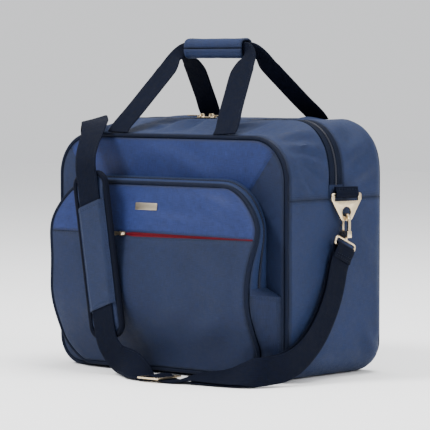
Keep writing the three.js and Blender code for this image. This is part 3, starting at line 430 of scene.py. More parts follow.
class Nodes:
    """Short names for making and joining shader nodes."""

    def __init__(self, name):
        self.material = bpy.data.materials.new(name)
        self.material.use_nodes = True
        self.tree = self.material.node_tree
        self.shader = self.tree.nodes["Principled BSDF"]
        MATERIALS[name] = self.material

    def new(self, kind, **values):
        node = self.tree.nodes.new(kind)
        for key, value in values.items():
            if hasattr(node, key):
                setattr(node, key, value)
            else:
                node.inputs[key.replace("_", " ")].default_value = value
        return node

    def join(self, output, target):
        self.tree.links.new(output, target)

    def math(self, operation, a, b=None):
        node = self.new("ShaderNodeMath", operation=operation)
        for socket, value in zip(node.inputs, (a, b)):
            if value is None:
                continue
            if isinstance(value, (int, float)):
                socket.default_value = value
            else:
                self.join(value, socket)
        return node.outputs[0]

    def uv(self):
        return self.new("ShaderNodeUVMap", uv_map="UVMap").outputs[0]

    def place(self):
        return self.new("ShaderNodeTexCoord").outputs["Object"]

    def noise(self, vector, scale, detail=3.0, roughness=0.55):
        node = self.new("ShaderNodeTexNoise")
        node.inputs["Scale"].default_value = scale
        node.inputs["Detail"].default_value = detail
        node.inputs["Roughness"].default_value = roughness
        self.join(vector, node.inputs["Vector"])
        return node.outputs["Fac"]

    def streaks(self, uv, across, along):
        """Slub yarns: noise drawn out along one direction of the weave."""
        stretch = self.new("ShaderNodeMapping")
        stretch.inputs["Scale"].default_value = (across, along, 1)
        self.join(uv, stretch.inputs["Vector"])
        return self.noise(stretch.outputs[0], 1.0, 2.0, 0.6)

    def wave(self, vector, period, direction="X", distortion=0.0):
        node = self.new("ShaderNodeTexWave", bands_direction=direction)
        node.inputs["Scale"].default_value = 2 * math.pi / (20 * period * MM)
        node.inputs["Distortion"].default_value = distortion
        self.join(vector, node.inputs["Vector"])
        return node.outputs["Fac"]

    def ramp(self, factor, a, b, low=0.0, high=1.0):
        node = self.new("ShaderNodeMapRange")
        self.join(factor, node.inputs["Value"])
        node.inputs["From Min"].default_value = low
        node.inputs["From Max"].default_value = high
        node.inputs["To Min"].default_value = a
        node.inputs["To Max"].default_value = b
        return node.outputs["Result"]

    def blend(self, factor, a, b, kind="MIX"):
        node = self.new("ShaderNodeMix", data_type="RGBA", blend_type=kind)
        if isinstance(factor, (int, float)):
            node.inputs[0].default_value = factor
        else:
            self.join(factor, node.inputs[0])
        for index, value in ((6, a), (7, b)):
            if isinstance(value, tuple):
                node.inputs[index].default_value = (*value, 1)
            else:
                self.join(value, node.inputs[index])
        return node.outputs[2]

    def bump(self, height, strength, distance, below=None):
        node = self.new("ShaderNodeBump")
        node.inputs["Strength"].default_value = strength
        node.inputs["Distance"].default_value = distance
        self.join(height, node.inputs["Height"])
        if below is not None:
            self.join(below, node.inputs["Normal"])
        return node.outputs["Normal"]

    def set(self, **values):
        for key, value in values.items():
            self.shader.inputs[key.replace("_", " ")].default_value = value


def scaled(color, factor):
    return tuple(min(1.0, c * factor) for c in color)


def cloth(name, color, seam_shade_color, period=1.0, weave=0.35, rough=0.62, sheen=0.035, tint=(0.35, 0.55, 1.0),
          specular=0.16, rib=0.0, mottle=0.16):
    """Woven cloth: a plain weave in millimetres, mottled yarn, colour a little lighter on the raised threads
    of the weave, and painted shade towards the seams from the per-point shade attribute.
    """
    n = Nodes(name)
    uv = n.uv()
    place = n.place()
    warp = n.wave(uv, period, "X", 0.6)
    weft = n.wave(uv, period, "Y", 0.6)
    weave_height = n.math("MULTIPLY", warp, weft)
    if rib:
        fine_rib = n.math("MULTIPLY", n.wave(uv, period, "X", 0.8), 0.5)
        weave_height = n.math("ADD", n.wave(uv, rib, "Y", 0.3), fine_rib)
    yarn = n.math("ADD", n.streaks(uv, 1600, 90), n.streaks(uv, 90, 1600))
    yarn = n.math("MULTIPLY", yarn, 0.5)
    slub = n.noise(place, 140, 3.0, 0.6)
    broad = n.noise(place, 9, 3.0, 0.5)
    value = n.math("ADD", n.ramp(yarn, -mottle * 1.9, mottle * 1.9, 0.36, 0.64),
                   n.ramp(slub, -mottle / 2, mottle / 2, 0.35, 0.65))
    value = n.math("ADD", value, n.ramp(broad, -0.12, 0.12, 0.3, 0.7))
    value = n.math("ADD", value, n.ramp(weave_height, -0.12, 0.1))
    shade = n.new("ShaderNodeCombineColor")
    lit = n.math("ADD", value, 1.0)
    for socket in shade.inputs:
        n.join(lit, socket)
    base = n.blend(1.0, color, shade.outputs[0], "MULTIPLY")
    # Painted shade: the per-point shade attribute blends the colour towards the given shade colour near seams
    # and edges.
    seam_shade = n.new("ShaderNodeAttribute", attribute_name="seam_shade").outputs["Fac"]
    base = n.blend(n.math("MINIMUM", seam_shade, 1.0), base, seam_shade_color)
    n.join(base, n.shader.inputs["Base Color"])
    n.join(n.ramp(slub, rough - 0.06, rough + 0.08, 0.35, 0.65), n.shader.inputs["Roughness"])
    fine = n.bump(weave_height, weave, 0.00035)
    crumple = n.noise(place, 45, 4.0, 0.6)
    n.join(n.bump(crumple, 0.16, 0.0022, fine), n.shader.inputs["Normal"])
    n.set(Sheen_Weight=sheen, Sheen_Roughness=0.45, Sheen_Tint=(*tint, 1), Specular_IOR_Level=specular)
    return n.material


def metal(name, color, rough=0.24, scratch=0.12):
    """Plated metal with a soft brushed grain, small scratches and slightly duller patches."""
    n = Nodes(name)
    place = n.place()
    patch = n.noise(place, 60, 3.0, 0.6)
    grain = n.noise(place, 1400, 2.0, 0.7)
    n.join(n.blend(n.ramp(patch, 0, 1, 0.35, 0.7), color, scaled(color, 0.82)), n.shader.inputs["Base Color"])
    n.join(n.math("ADD", n.ramp(patch, rough - 0.05, rough + 0.1, 0.3, 0.7), n.ramp(grain, 0, 0.06)),
           n.shader.inputs["Roughness"])
    n.join(n.bump(grain, scratch, 0.0001), n.shader.inputs["Normal"])
    n.set(Metallic=1.0)
    return n.material


def plastic(name, color, rough=0.42):
    n = Nodes(name)
    place = n.place()
    patch = n.noise(place, 200, 3.0, 0.6)
    n.join(n.blend(n.ramp(patch, 0, 1, 0.35, 0.7), color, scaled(color, 1.5)), n.shader.inputs["Base Color"])
    n.join(n.ramp(patch, rough - 0.06, rough + 0.1, 0.3, 0.7), n.shader.inputs["Roughness"])
    n.join(n.bump(patch, 0.15, 0.0002), n.shader.inputs["Normal"])
    return n.material


# Colours of the painted shade that the cloth materials mix in near seams and edges.
SEAM_SHADE_BLACK = (0.002, 0.003, 0.008)
SEAM_SHADE_NAVY = (0.004, 0.007, 0.018)
cloth("body_cloth", (0.0082, 0.0160, 0.0500), SEAM_SHADE_NAVY)
cloth("royal_cloth", (0.0112, 0.0205, 0.0840), SEAM_SHADE_NAVY, rough=0.52)
cloth("grey_cloth", (0.0074, 0.0130, 0.0385), SEAM_SHADE_NAVY)
cloth("piping_cloth", (0.0028, 0.0052, 0.0155), SEAM_SHADE_BLACK, period=0.8, rough=0.7, specular=0.1, sheen=0.0)
cloth("webbing", (0.0016, 0.0028, 0.0085), SEAM_SHADE_BLACK, period=1.6, rib=2.4, weave=0.5, rough=0.8,
      mottle=0.2, sheen=0.0, specular=0.07)
cloth("pad_cloth", (0.0082, 0.0145, 0.0410), SEAM_SHADE_NAVY, period=1.1)
cloth("pad_binding", (0.0014, 0.0024, 0.0075), SEAM_SHADE_BLACK, period=1.2, rib=1.8, weave=0.5, rough=0.8,
      sheen=0.0, specular=0.08)
cloth("zip_tape", (0.0025, 0.0048, 0.0140), SEAM_SHADE_BLACK, period=0.7, rough=0.75, specular=0.08, sheen=0.0)
cloth("accent_tape", (0.110, 0.0015, 0.008), (0.015, 0.001, 0.002), period=0.9, rough=0.5, tint=(1, 0.5, 0.5))
cloth("thread_blue", (0.007, 0.014, 0.042), SEAM_SHADE_BLACK, period=0.5, rough=0.45)
cloth("thread_navy", (0.004, 0.007, 0.018), SEAM_SHADE_BLACK, period=0.5, rough=0.45)
metal("gold_metal", (0.72, 0.58, 0.38))
metal("badge_plate", (0.36, 0.31, 0.24), rough=0.36)
plastic("zip_coil", (0.004, 0.006, 0.015))
plastic("board", (0.01, 0.01, 0.012), 0.6)

# ---------------------------------------------------------------- the bag's skin


def crown_at(y):
    return CROWN * smooth(y, FRONT, FRONT + CROWN_RUN)


def rear_rounding(y):
    past = np.clip(y - (REAR - REAR_RADIUS), 0, REAR_RADIUS)
    return REAR_RADIUS - np.sqrt(REAR_RADIUS ** 2 - past ** 2)


def skin(outline, depths, inset=0.0):
    """Grid of skin points over an outline (rows) and depths (columns)."""
    x, z, nx, nz = (outline[:, k][:, None] for k in range(4))
    y = np.asarray(depths)[None, :]
    out = crown_at(y) * np.maximum(0, nz) ** 2 - rear_rounding(y) - inset
    return np.stack(np.broadcast_arrays(x + nx * out, y + 0 * x, z + nz * out), -1)


def corner(sign, top):
    radius = TOP_RADIUS if top else BOTTOM_RADIUS
    x = sign * (BODY_HALF - radius)
    if top:
        return arc(x, TOP - radius, radius, 0, 90) if sign > 0 else arc(x, TOP - radius, radius, 90, 180)
    return arc(x, radius, radius, -90, 0) if sign > 0 else arc(x, radius, radius, 180, 270)


def upper_outline(from_z):
    reach = BODY_HALF - TOP_RADIUS
    shoulder = TOP - TOP_RADIUS
    return chain(straight(BODY_HALF, from_z, shoulder, 4), corner(1, True), level(TOP, reach, -reach, 1, 4),
                 corner(-1, True), straight(-BODY_HALF, shoulder, from_z, 4))


def lower_outline(to_z):
    reach = BODY_HALF - BOTTOM_RADIUS
    return chain(straight(-BODY_HALF, to_z, BOTTOM_RADIUS), corner(-1, False), level(0, -reach, reach, -1),
                 corner(1, False), straight(BODY_HALF, BOTTOM_RADIUS, to_z))


def body_loop():
    reach = BODY_HALF - TOP_RADIUS
    base = BODY_HALF - BOTTOM_RADIUS
    shoulder = TOP - TOP_RADIUS
    loop = chain(corner(1, True), level(TOP, reach, -reach, 1), corner(-1, True),
                 straight(-BODY_HALF, shoulder, BOTTOM_RADIUS), corner(-1, False),
                 level(0, -base, base, -1), corner(1, False), straight(BODY_HALF, BOTTOM_RADIUS, shoulder))
    return loop[:-1]


def edge_distance(P):
    """Distance in millimetres of each grid point to the grid's nearest edge."""
    u = lengths(P[:, P.shape[1] // 2])
    v = lengths(P[P.shape[0] // 2])
    du = np.minimum(u, u[-1] - u)[:, None]
    dv = np.minimum(v, v[-1] - v)[None, :]
    return np.minimum(du, dv)


def side_distance(P, axis):
    run = lengths(P[:, P.shape[1] // 2] if axis == 0 else P[P.shape[0] // 2])
    near = np.minimum(run, run[-1] - run)
    return near[:, None] * np.ones(P.shape[1]) if axis == 0 else np.ones(P.shape[0])[:, None] * near


def rolled(P, N, distance, depth=2.0, reach=2.4):
    """Turns a panel's edges in towards their seam."""
    return P - N * (depth * bell(distance, reach))[..., None]


FOLD_GAIN = 1.9


def creases(P, rows):
    """Height of soft folds. Each row is a start, an end, a width and a height."""
    total = np.zeros(P.shape[:-1])
    for start, end, width, height in rows:
        a = np.array(start, float)
        b = np.array(end, float)
        along = b - a
        t = np.clip(((P - a) @ along) / (along @ along), 0, 1)
        near = np.linalg.norm(P - (a + t[..., None] * along), axis=-1)
        fade = np.sin(np.clip(t, 0.02, 0.98) * math.pi) ** 0.6
        total += FOLD_GAIN * height * fade * (bell(near, width)
                                  - 0.55 * bell(near - 1.9 * width, width))
    return total


def puckers(P, distance, spacing=14.0, height=0.55, seed=0.0, reach=14.0):
    """Small gathers that seams pull into the cloth beside them."""
    wobble = perlin(P, spacing, seed)
    return height * wobble * bell(distance, reach)


def soft(P, N, seed, broad=1.4, middle=0.5, distance=None, edge=14.0):
    """Uneven fullness of foam-backed cloth, held down near its seams."""
    hold = 1.0 if distance is None else 1 - bell(distance, edge)
    height = broad * perlin(P, 70, seed) + middle * perlin(P, 26, seed + 1)
    return P + N * (height * hold)[..., None]


def lift(P, N, height):
    return P + N * height[..., None]


RIGHT_FOLDS = [
    ((205, -92, 302), (205, -30, 258), 7, 1.9), ((200, -92, 308), (208, -22, 288), 6, 1.7),
    ((190, -92, 318), (201, -18, 312), 6, 1.5), ((208, -92, 290), (210, -48, 236), 8, 1.5),
    ((170, -90, 330), (186, -16, 334), 7, 1.5), ((120, -90, 333), (150, -18, 350), 8, 1.4),
]
REAR_FOLDS = [
    ((150, 92, 340), (185, 24, 338), 9, 2.0), ((188, 92, 318), (206, 22, 300), 9, 1.8),
    ((100, 96, 344), (120, 30, 352), 9, 1.6), ((206, 90, 290), (210, 26, 268), 8, 1.2),
]
TOP_FOLDS = [
    ((-40, -88, 334), (-20, -20, 351), 10, 2.0), ((30, -88, 334), (10, -22, 351), 12, 1.8),
    ((-120, -88, 333), (-150, -20, 348), 9, 1.8), ((-70, -60, 344), (-20, -44, 348), 9, 1.4),
    ((40, -56, 345), (110, -40, 348), 9, 1.2),
]


def mirrored_folds(rows):
    flip = lambda p: (-p[0], p[1], p[2])
    return [(flip(a), flip(b), width, height * 0.8) for a, b, width, height in rows]


# Painted shade near a seam or edge: full strength at the edge, fading over about reach millimetres.
def edge_shade(distance, reach=3.2, strength=0.75):
    return strength * bell(distance, reach)


def gusset(name, outline, depths, folds, seed):
    P = skin(outline, depths)
    N = outward(P)
    distance = edge_distance(P)
    P = soft(P, N, seed, 1.5, 0.45, distance, 16)
    P = lift(P, N, creases(P, folds) * (1 - bell(distance, 9)))
    P = lift(P, N, puckers(P, distance, 13, 0.5, seed))
    P = rolled(P, N, side_distance(P, 1), 1.7, 2.0)
    obj = cloth_shell(name + "_cloth", P, "body_cloth", seam_shade=edge_shade(distance))
    ride(obj, "root", name)
    return P, N


def grid_line(P, N, axis, place):
    """The points and normals of a line at place millimetres along the given axis of a grid."""
    run = lengths(P[:, P.shape[1] // 2] if axis == 0 else P[P.shape[0] // 2])
    if place < 0:
        place += run[-1]
    i = int(np.clip(np.searchsorted(run, place) - 1, 0, len(run) - 2))
    t = (place - run[i]) / max(run[i + 1] - run[i], 1e-6)
    take = (lambda data, k: data[k]) if axis == 0 else (lambda data, k: data[:, k])
    return mix(take(P, i), take(P, i + 1), t), mix(take(N, i), take(N, i + 1), t)


def sew(P, N, axis, places, body="root", **more):
    for place in places:
        stitch_line(*grid_line(P, N, axis, place), body, **more)


def build_body():
    front_y = FRONT + 2 * PIPING_RADIUS + SEAM_GAP
    zip_half = COIL_HALF + TAPE_WIDTH + 0.6
    seam = SEAM_Z + SEAM_GAP
    P, N = gusset("upper_gusset_front", upper_outline(seam), eased_steps(front_y, -zip_half, 4),
                  RIGHT_FOLDS + mirrored_folds(RIGHT_FOLDS) + TOP_FOLDS, 1)
    sew(P, N, 1, (4, -3))
    sew(P, N, 0, (3, 6, -3, -6))
    P, N = gusset("upper_gusset_rear", upper_outline(seam), eased_steps(zip_half, REAR_EDGE, 4),
                  REAR_FOLDS + mirrored_folds(REAR_FOLDS), 2)
    sew(P, N, 1, (3, -4))
    sew(P, N, 0, (3, 6, -3, -6))
    outline = lower_outline(SEAM_Z)
    base_folds = [((209, -70, 40), (209, 20, 8), 10, 1.6), ((209, 60, 60), (205, 96, 14), 10, 1.6),
                  ((210, 30, 210), (210, 90, 150), 14, 1.2), ((210, -60, 120), (210, 30, 190), 16, 1.0)]
    P = skin(outline, eased_steps(front_y, REAR_EDGE, 5))
    N = outward(P)
    distance = side_distance(P, 1)
    ends = side_distance(P, 0)
    upright = 1 - np.clip(-N[..., 2], 0, 1)
    P = lift(P, N, (1.3 * perlin(P, 75, 3) + 0.4 * perlin(P, 28, 4)) * upright * (1 - bell(ends, 20)))
    P = lift(P, N, creases(P, base_folds + mirrored_folds(base_folds)) * upright)
    P = lift(P, N, puckers(P, np.minimum(distance, ends), 13, 0.5, 3) * upright)
    P = rolled(P, N, distance, 1.7, 2.0)
    P = rolled(P, N, ends, 0.8, 1.4)
    P[..., 2] = np.maximum(P[..., 2], 0)
    obj = cloth_shell("lower_gusset_cloth", P, "body_cloth",
                      seam_shade=edge_shade(np.minimum(distance, ends * 1.6)))
    ride(obj, "root", "lower_gusset")
    sew(P, N, 1, (4, -4))
    sew(P, N, 0, (3, -3))


def disc_panel(outline, y, rings, centre):
    """A flat panel filled with rings that shrink from its outline to its centre."""
    P = []
    for share in rings:
        ring = centre + (outline - centre) * share
        P.append(np.stack([ring[:, 0], np.full(len(ring), y), ring[:, 1]], 1))
    return np.array(P)


def closed_disc(name, P, N, thick, slot, seam_shade):
    """Thickens a ringed panel whose last ring is a small middle loop, and closes both faces."""
    rings, count = P.shape[:2]
    points = np.concatenate([P.reshape(-1, 3), (P - N * thick).reshape(-1, 3)])
    faces = []
    total = rings * count
    for i in range(rings - 1):
        for j in range(count):
            k = (j + 1) % count
            a, b, c, d = i * count + j, i * count + k, (i + 1) * count + k, (i + 1) * count + j
            faces.append([a, b, c, d])
            faces.append([total + d, total + c, total + b, total + a])
    for j in range(count):
        k = (j + 1) % count
        faces.append([j, total + j, total + k, k])
    last = (rings - 1) * count
    faces.append([last + j for j in range(count)])
    faces.append([total + last + j for j in range(count)][::-1])
    uv = points[:, [0, 2]]
    obj = link(name, points, faces, MATERIALS[slot], uv, np.tile(seam_shade.ravel(), 2))
    flip_if_inside_out(obj)
    return obj


def build_front_and_back():
    rings = np.concatenate([[1, 0.996, 0.99, 0.98, 0.965, 0.945], np.linspace(0.92, 0.05, 30)])
    centre = np.array([0, TOP / 2])
    inset = 2 * PIPING_RADIUS + SEAM_GAP
    loop = body_loop()
    P = disc_panel(loop[:, :2] - loop[:, 2:4] * inset, FRONT, rings, centre)
    N = facing_normals(P, 1, -1)
    depth = (1 - rings)[:, None] * 160 * np.ones(P.shape[1])
    above = smooth(P[..., 2], POCKET_TOP - 30, TOP - 20)
    wave = 1.3 * perlin(P, 60, 5) + 0.5 * perlin(P, 24, 6)
    folds = creases(P, [((10, FRONT, 300), (90, FRONT, 262), 12, 1.4),
                        ((-60, FRONT, 312), (30, FRONT, 296), 14, 1.0)])
    height = (1.0 + wave + folds) * above * (1 - bell(depth, 12))
    slant = diagonal_distance(P)
    height -= 1.1 * bell(slant, 1.3) * (P[..., 2] > 200)
    P = lift(P, N, height)
    P = rolled(P, N, depth, 1.2, 1.8)
    # Painted shade along the panel's rim and along both sewn corner seams, over the groove pressed into them.
    seam_shade = np.maximum(edge_shade(depth, 2.6), 0.85 * bell(slant, 1.0))
    obj = closed_disc("front_panel_cloth", P, N, 2.4, "royal_cloth", seam_shade)
    ride(obj, "root", "front_panel")
    obj.data.materials.append(MATERIALS["grey_cloth"])
    cut_along_diagonals(obj)
    for polygon in obj.data.polygons:
        x, _, z = polygon.center / MM
        if abs(x) > diagonal_x(z):
            polygon.material_index = 1
    zs = np.linspace(TOP - 17, 205, 40)
    for sign in (1, -1):
        for shift in (-2.2, -4.4):
            line = np.stack([sign * (diagonal_x(zs) + shift), np.full(40, FRONT - 1.2), zs], 1)
            stitch_line(line, np.tile([0, -1.0, 0], (40, 1)), "root")

    P = closed_back(loop, rings, centre)
    N = facing_normals(P, 1, 1)
    wave = 0.8 * perlin(P, 80, 7) + 0.35 * perlin(P, 30, 8)
    P = lift(P, N, wave * (1 - bell(depth, 16)))
    P = rolled(P, N, depth, 1.3, 2.0)
    obj = closed_disc("back_panel_cloth", P, N, 2.6, "body_cloth", edge_shade(depth, 3))
    ride(obj, "root", "back_panel")
    for share in (0.0, 0.5):
        stitch_ring(mix(P[5], P[6], share), 1, "root")


def closed_back(loop, rings, centre):
    """The back panel's rings. Its edge follows the crown and the rounding of the rear gusset."""
    crown = CROWN * np.maximum(0, loop[:, 3]) ** 2
    grow = (crown - rear_rounding(REAR_EDGE))[:, None]
    return disc_panel(loop[:, :2] + loop[:, 2:4] * grow, REAR, rings, centre + np.array([0, CROWN / 2]))


def diagonal_x(z):
    """Where the sewn corner patch of the front panel starts, at each height."""
    return mix(198.0, 150.0, np.clip((TOP - 8 - z) / 62.0, 0, 1.6))


def cut_along_diagonals(obj):
    """Runs a row of edges along both corner seams, so the two cloths meet in a clean line."""
    cut = bmesh.new()
    cut.from_mesh(obj.data)
    top, foot = TOP - 8, TOP - 70
    for sign in (1, -1):
        along = Vector((sign * (diagonal_x(foot) - diagonal_x(top)), 0, foot - top))
        everything = [*cut.verts, *cut.edges, *cut.faces]
        bmesh.ops.bisect_plane(cut, geom=everything, plane_co=(sign * diagonal_x(top) * MM, 0, top * MM),
                               plane_no=(along.z, 0, -along.x), dist=1e-6)
    cut.to_mesh(obj.data)
    cut.free()


def diagonal_distance(P):
    return np.abs(np.abs(P[..., 0]) - diagonal_x(P[..., 2])) * 0.8


def build_piping():
    loop = body_loop()
    path = skin(loop, [FRONT + PIPING_RADIUS], PIPING_RADIUS)[:, 0]
    path[:, 2] = np.maximum(path[:, 2], PIPING_RADIUS)
    obj = tube("front_piping_cord", path, PIPING_RADIUS - 0.15, MATERIALS["piping_cloth"], 16)
    ride(obj, "root", "front_piping")


def build_main_zip():
    outline = upper_outline(ZIP_END_Z)
    start = COIL_HALF + SEAM_GAP
    stop = start + TAPE_WIDTH
    for name, depths in (("main_zip_tape_front", (-stop, -start)), ("main_zip_tape_rear", (start, stop))):
        P = skin(outline, np.linspace(*depths, 8), 0.6)
        N = outward(P)
        P = lift(P, N, 0.25 * perlin(P, 12, 9))
        obj = cloth_shell(name + "_cloth", P, "zip_tape", 1.2)
        ride(obj, "root", name)
        sew(P, N, 1, (2.5, 7.5), thread="thread_navy")
    for sign in (1, -1):
        outer = straight(sign * BODY_HALF, ZIP_END_Z + 1, SEAM_Z - 1, 2)
        patch = skin(outer, np.linspace(-stop - 1, stop + 1, 10), 0.5)
        N = outward(patch)
        side = "right" if sign > 0 else "left"
        ride(cloth_shell(f"zip_end_patch_{side}", patch, "body_cloth", 1.4, N=N), "root")
        sew(patch, N, 0, (1.8,))
    build_coil("main_zip_teeth", skin(outline, [-COIL_HALF, 0, COIL_HALF], 1.0), 1.6, "main_zip_coil", 2.4)


def build_coil(name, P, pitch, node, width):
    """Two rows of coil loops along a zip, meshed in the middle, on a low core."""
    N = outward(P)
    centre, lift_dir = P[:, 1], N[:, 1]
    run = lengths(centre)
    count = int(run[-1] / pitch)
    place = (np.arange(count) + 0.5) * pitch
    pick = lambda data: np.stack([np.interp(place, run, data[:, k]) for k in range(3)], 1)
    at = pick(centre)
    up = unit(pick(lift_dir))
    along = unit(np.gradient(at, axis=0))
    across = np.cross(up, along)
    profile = [(-1.0, 0.0), (-0.9, 0.75), (-0.4, 1.05), (0.4, 1.05), (0.9, 0.75), (1.0, 0.0), (0.0, -0.5)]
    points, faces = [], []
    for i in range(count):
        shift = (0.22 if i % 2 else -0.22) * width
        base = len(points)
        for end in (-0.36, 0.36):
            for u, v in profile:
                points.append(at[i] + across[i] * (u * width * 0.72 + shift) + up[i] * v * 0.9
                              + along[i] * end * pitch)
        sides = len(profile)
        faces += [[base + k, base + (k + 1) % sides, base + sides + (k + 1) % sides, base + sides + k]
                  for k in range(sides)]
        faces += [[base + k for k in range(sides)][::-1], [base + sides + k for k in range(sides)]]
    obj = link(name, np.array(points), faces, MATERIALS["zip_coil"], sharp=40)
    flip_if_inside_out(obj)
    core = cloth_shell(name + "_core", P - N * 0.4, "zip_tape", 1.0)
    ride(core, "root")
    ride(obj, "root", node)


# ---------------------------------------------------------------- front pocket


def pocket_depth(z):
    low_part = mix(POCKET_BOTTOM_DEPTH, POCKET_DEPTH, smooth(z, 0, POCKET_FULL_Z))
    return low_part - (POCKET_DEPTH - POCKET_TOP_DEPTH) * smooth(z, POCKET_FULL_Z, POCKET_TOP)


def face_y(z):
    return FRONT - pocket_depth(z)


def cheek(z):
    return POCKET_CHEEK * bell(z - POCKET_CHEEK_Z, POCKET_CHEEK_SPREAD)


def pocket_half(half, bottom, top, low_radius, top_radius, cheeks, sides=60):
    """Right half outline from bottom centre to top centre, with the same count for every size."""
    flat = 24
    floor = level_rows(bottom, 0, half - low_radius, -1, flat)[:-1]
    foot = arc(half - low_radius, bottom + low_radius, low_radius, -90, 0, 18)
    z = np.linspace(bottom + low_radius, top - top_radius, sides)[1:-1]
    wall = np.stack([np.full_like(z, half), z, np.ones_like(z), np.zeros_like(z)], 1)
    head = arc(half - top_radius, top - top_radius, top_radius, 0, 90, 20)
    roof = level_rows(top, half - top_radius, 0, 1, flat)[1:]
    rows = np.concatenate([floor, foot, wall, head, roof])
    if cheeks:
        rows[:, 0] += cheek(rows[:, 1]) * rows[:, 2]
    return rows


def flip_half(rows):
    out = rows[::-1].copy()
    out[:, 0] *= -1
    out[:, 2] *= -1
    return out


def pocket_outlines():
    face = pocket_half(POCKET_HALF, POCKET_BOTTOM, POCKET_TOP, POCKET_BOTTOM_RADIUS, POCKET_TOP_RADIUS, True)
    root = pocket_half(POCKET_ROOT_HALF, POCKET_BOTTOM, POCKET_TOP + POCKET_ROOT_RISE, POCKET_BOTTOM_RADIUS,
                       POCKET_ROOT_RADIUS, False)
    flare = pocket_half(POCKET_FLARE_HALF, POCKET_BOTTOM, POCKET_TOP, POCKET_BOTTOM_RADIUS,
                        POCKET_ROOT_RADIUS, False)
    return face, root, flare


def gusset_grid(face, root, shares, inset=0.0):
    """Points between the pocket's face outline and its line on the front panel."""
    s = np.asarray(shares)[None, :]
    x = mix(face[:, :1], root[:, :1], s) - face[:, 2:3] * inset
    z = mix(face[:, 1:2], root[:, 1:2], s) - face[:, 3:4] * inset
    y0 = face_y(face[:, 1:2]) + 2 * PIPING_RADIUS + SEAM_GAP
    y = mix(y0, FRONT - SEAM_GAP, s)
    return np.stack([x, y, z], -1)


def pocket_side(face, root, shares, node, slot, seed, folds=()):
    P = gusset_grid(face, root, shares)
    N = outward(P, (0, -125, 140))
    distance = side_distance(P, 1)
    P = lift(P, N, (0.6 * perlin(P, 30, seed) + 0.25 * perlin(P, 11, seed)) * (1 - bell(distance, 4)))
    P = lift(P, N, creases(P, folds))
    P = rolled(P, N, distance, 0.8, 1.2)
    P[..., 2] = np.maximum(P[..., 2], 2.5)
    obj = cloth_shell(node + "_cloth", P, slot, 2.0, edge_shade(distance, 1.8, 0.7), N)
    ride(obj, "root", node)
    return P, N


def edge_shares(a, b, count):
    inner = np.linspace(0, 1, count)
    return a + (b - a) * (inner + 0.10 * np.sin(-2 * math.pi * inner) / 2)


def build_pocket_sides():
    face, root, flare = pocket_outlines()
    above_right = face[:, 1] > POCKET_ZIP_RIGHT
    above_left = flip_half(face)[:, 1] > POCKET_ZIP_LEFT
    face_up = np.concatenate([face[above_right], flip_half(face)[above_left][1:]])
    root_up = np.concatenate([root[above_right], flip_half(root)[above_left][1:]])
    coil = 2.7 / POCKET_DEPTH
    share = POCKET_ZIP_SHARE
    P, N = pocket_side(face_up, root_up, edge_shares(0, share - coil, 9), "pocket_gusset_front",
                       "body_cloth", 11)
    sew(P, N, 1, (-1.8,))
    P, N = pocket_side(face_up, root_up, edge_shares(share + coil, 1, 8), "pocket_gusset_rear",
                       "body_cloth", 12)
    sew(P, N, 1, (1.8,))
    zip_line = gusset_grid(face_up, root_up, [share - coil, share, share + coil], 0.6)
    build_coil("pocket_zip_teeth", zip_line, 1.5, "pocket_zip_coil", 2.0)

    left_face = flip_half(face)[~above_left]
    left_root = flip_half(root)[~above_left]
    right_face = face[~above_right]
    right_root = flare[~above_right]
    folds = [((196, -128, 112), (186, -140, 60), 6, 1.3), ((200, -118, 60), (178, -128, 26), 6, 1.0)]
    face_low = np.concatenate([left_face, right_face[1:]])
    root_low = np.concatenate([left_root, right_root[1:]])
    P, N = pocket_side(face_low, root_low, edge_shares(0, 1, 12), "pocket_gusset_lower", "grey_cloth",
                       13, folds)
    sew(P, N, 0, (-2.2, -5.0))
    sew(P, N, 1, (-2.5,))

    edge = np.flatnonzero(~above_right)[-1:]
    shares = np.linspace(0, 1, 12)
    inner_row, outer_row = (gusset_grid(face[edge], rows[edge], shares)[0] for rows in (root, flare))
    ledge = np.array([mix(inner_row, outer_row, t) + [0, 0, 9 * (1 - t) - 0.4]
                      for t in np.linspace(-0.04, 0.97, 8)])
    up = facing_normals(ledge, 2, 1)
    ride(cloth_shell("pocket_ledge", ledge, "grey_cloth", 1.0, N=up), "root")

    loop = np.concatenate([face, flip_half(face)[1:-1]])
    keep = np.linalg.norm(np.roll(loop[:, :2], -1, 0) - loop[:, :2], axis=1) > 0.05
    loop = loop[keep]
    path = np.stack([loop[:, 0] - loop[:, 2] * PIPING_RADIUS, face_y(loop[:, 1]) + PIPING_RADIUS,
                     loop[:, 1] - loop[:, 3] * PIPING_RADIUS], 1)
    path = smooth_loop(path, 2)
    obj = tube("pocket_piping_cord", path, PIPING_RADIUS - 0.15, MATERIALS["piping_cloth"], 16)
    ride(obj, "root", "pocket_piping")


def smooth_loop(path, times):
    for _ in range(times):
        path = 0.5 * path + 0.25 * (np.roll(path, 1, 0) + np.roll(path, -1, 0))
    return path


def half_width(z):
    past = np.clip(z - (POCKET_TOP - POCKET_TOP_RADIUS), 0, POCKET_TOP_RADIUS)
    short = np.clip(POCKET_BOTTOM + POCKET_BOTTOM_RADIUS - z, 0, POCKET_BOTTOM_RADIUS)
    top_pull = POCKET_TOP_RADIUS - np.sqrt(POCKET_TOP_RADIUS ** 2 - past ** 2)
    low_pull = POCKET_BOTTOM_RADIUS - np.sqrt(POCKET_BOTTOM_RADIUS ** 2 - short ** 2)
    nx = 1 - np.maximum(top_pull / POCKET_TOP_RADIUS, low_pull / POCKET_BOTTOM_RADIUS)
    return POCKET_HALF - top_pull - low_pull + cheek(z) * nx


def accent_gap(x):
    """Half the height of the open slot: shut left of the slider, a long wedge to the right."""
    slider_x = low("accent_zip_slider")[0]
    opening = smooth(x, slider_x, slider_x + 26)
    return 0.25 + 3.1 * opening * (1 - np.clip((x - slider_x) / (168 - slider_x), 0, 1)) ** 0.8


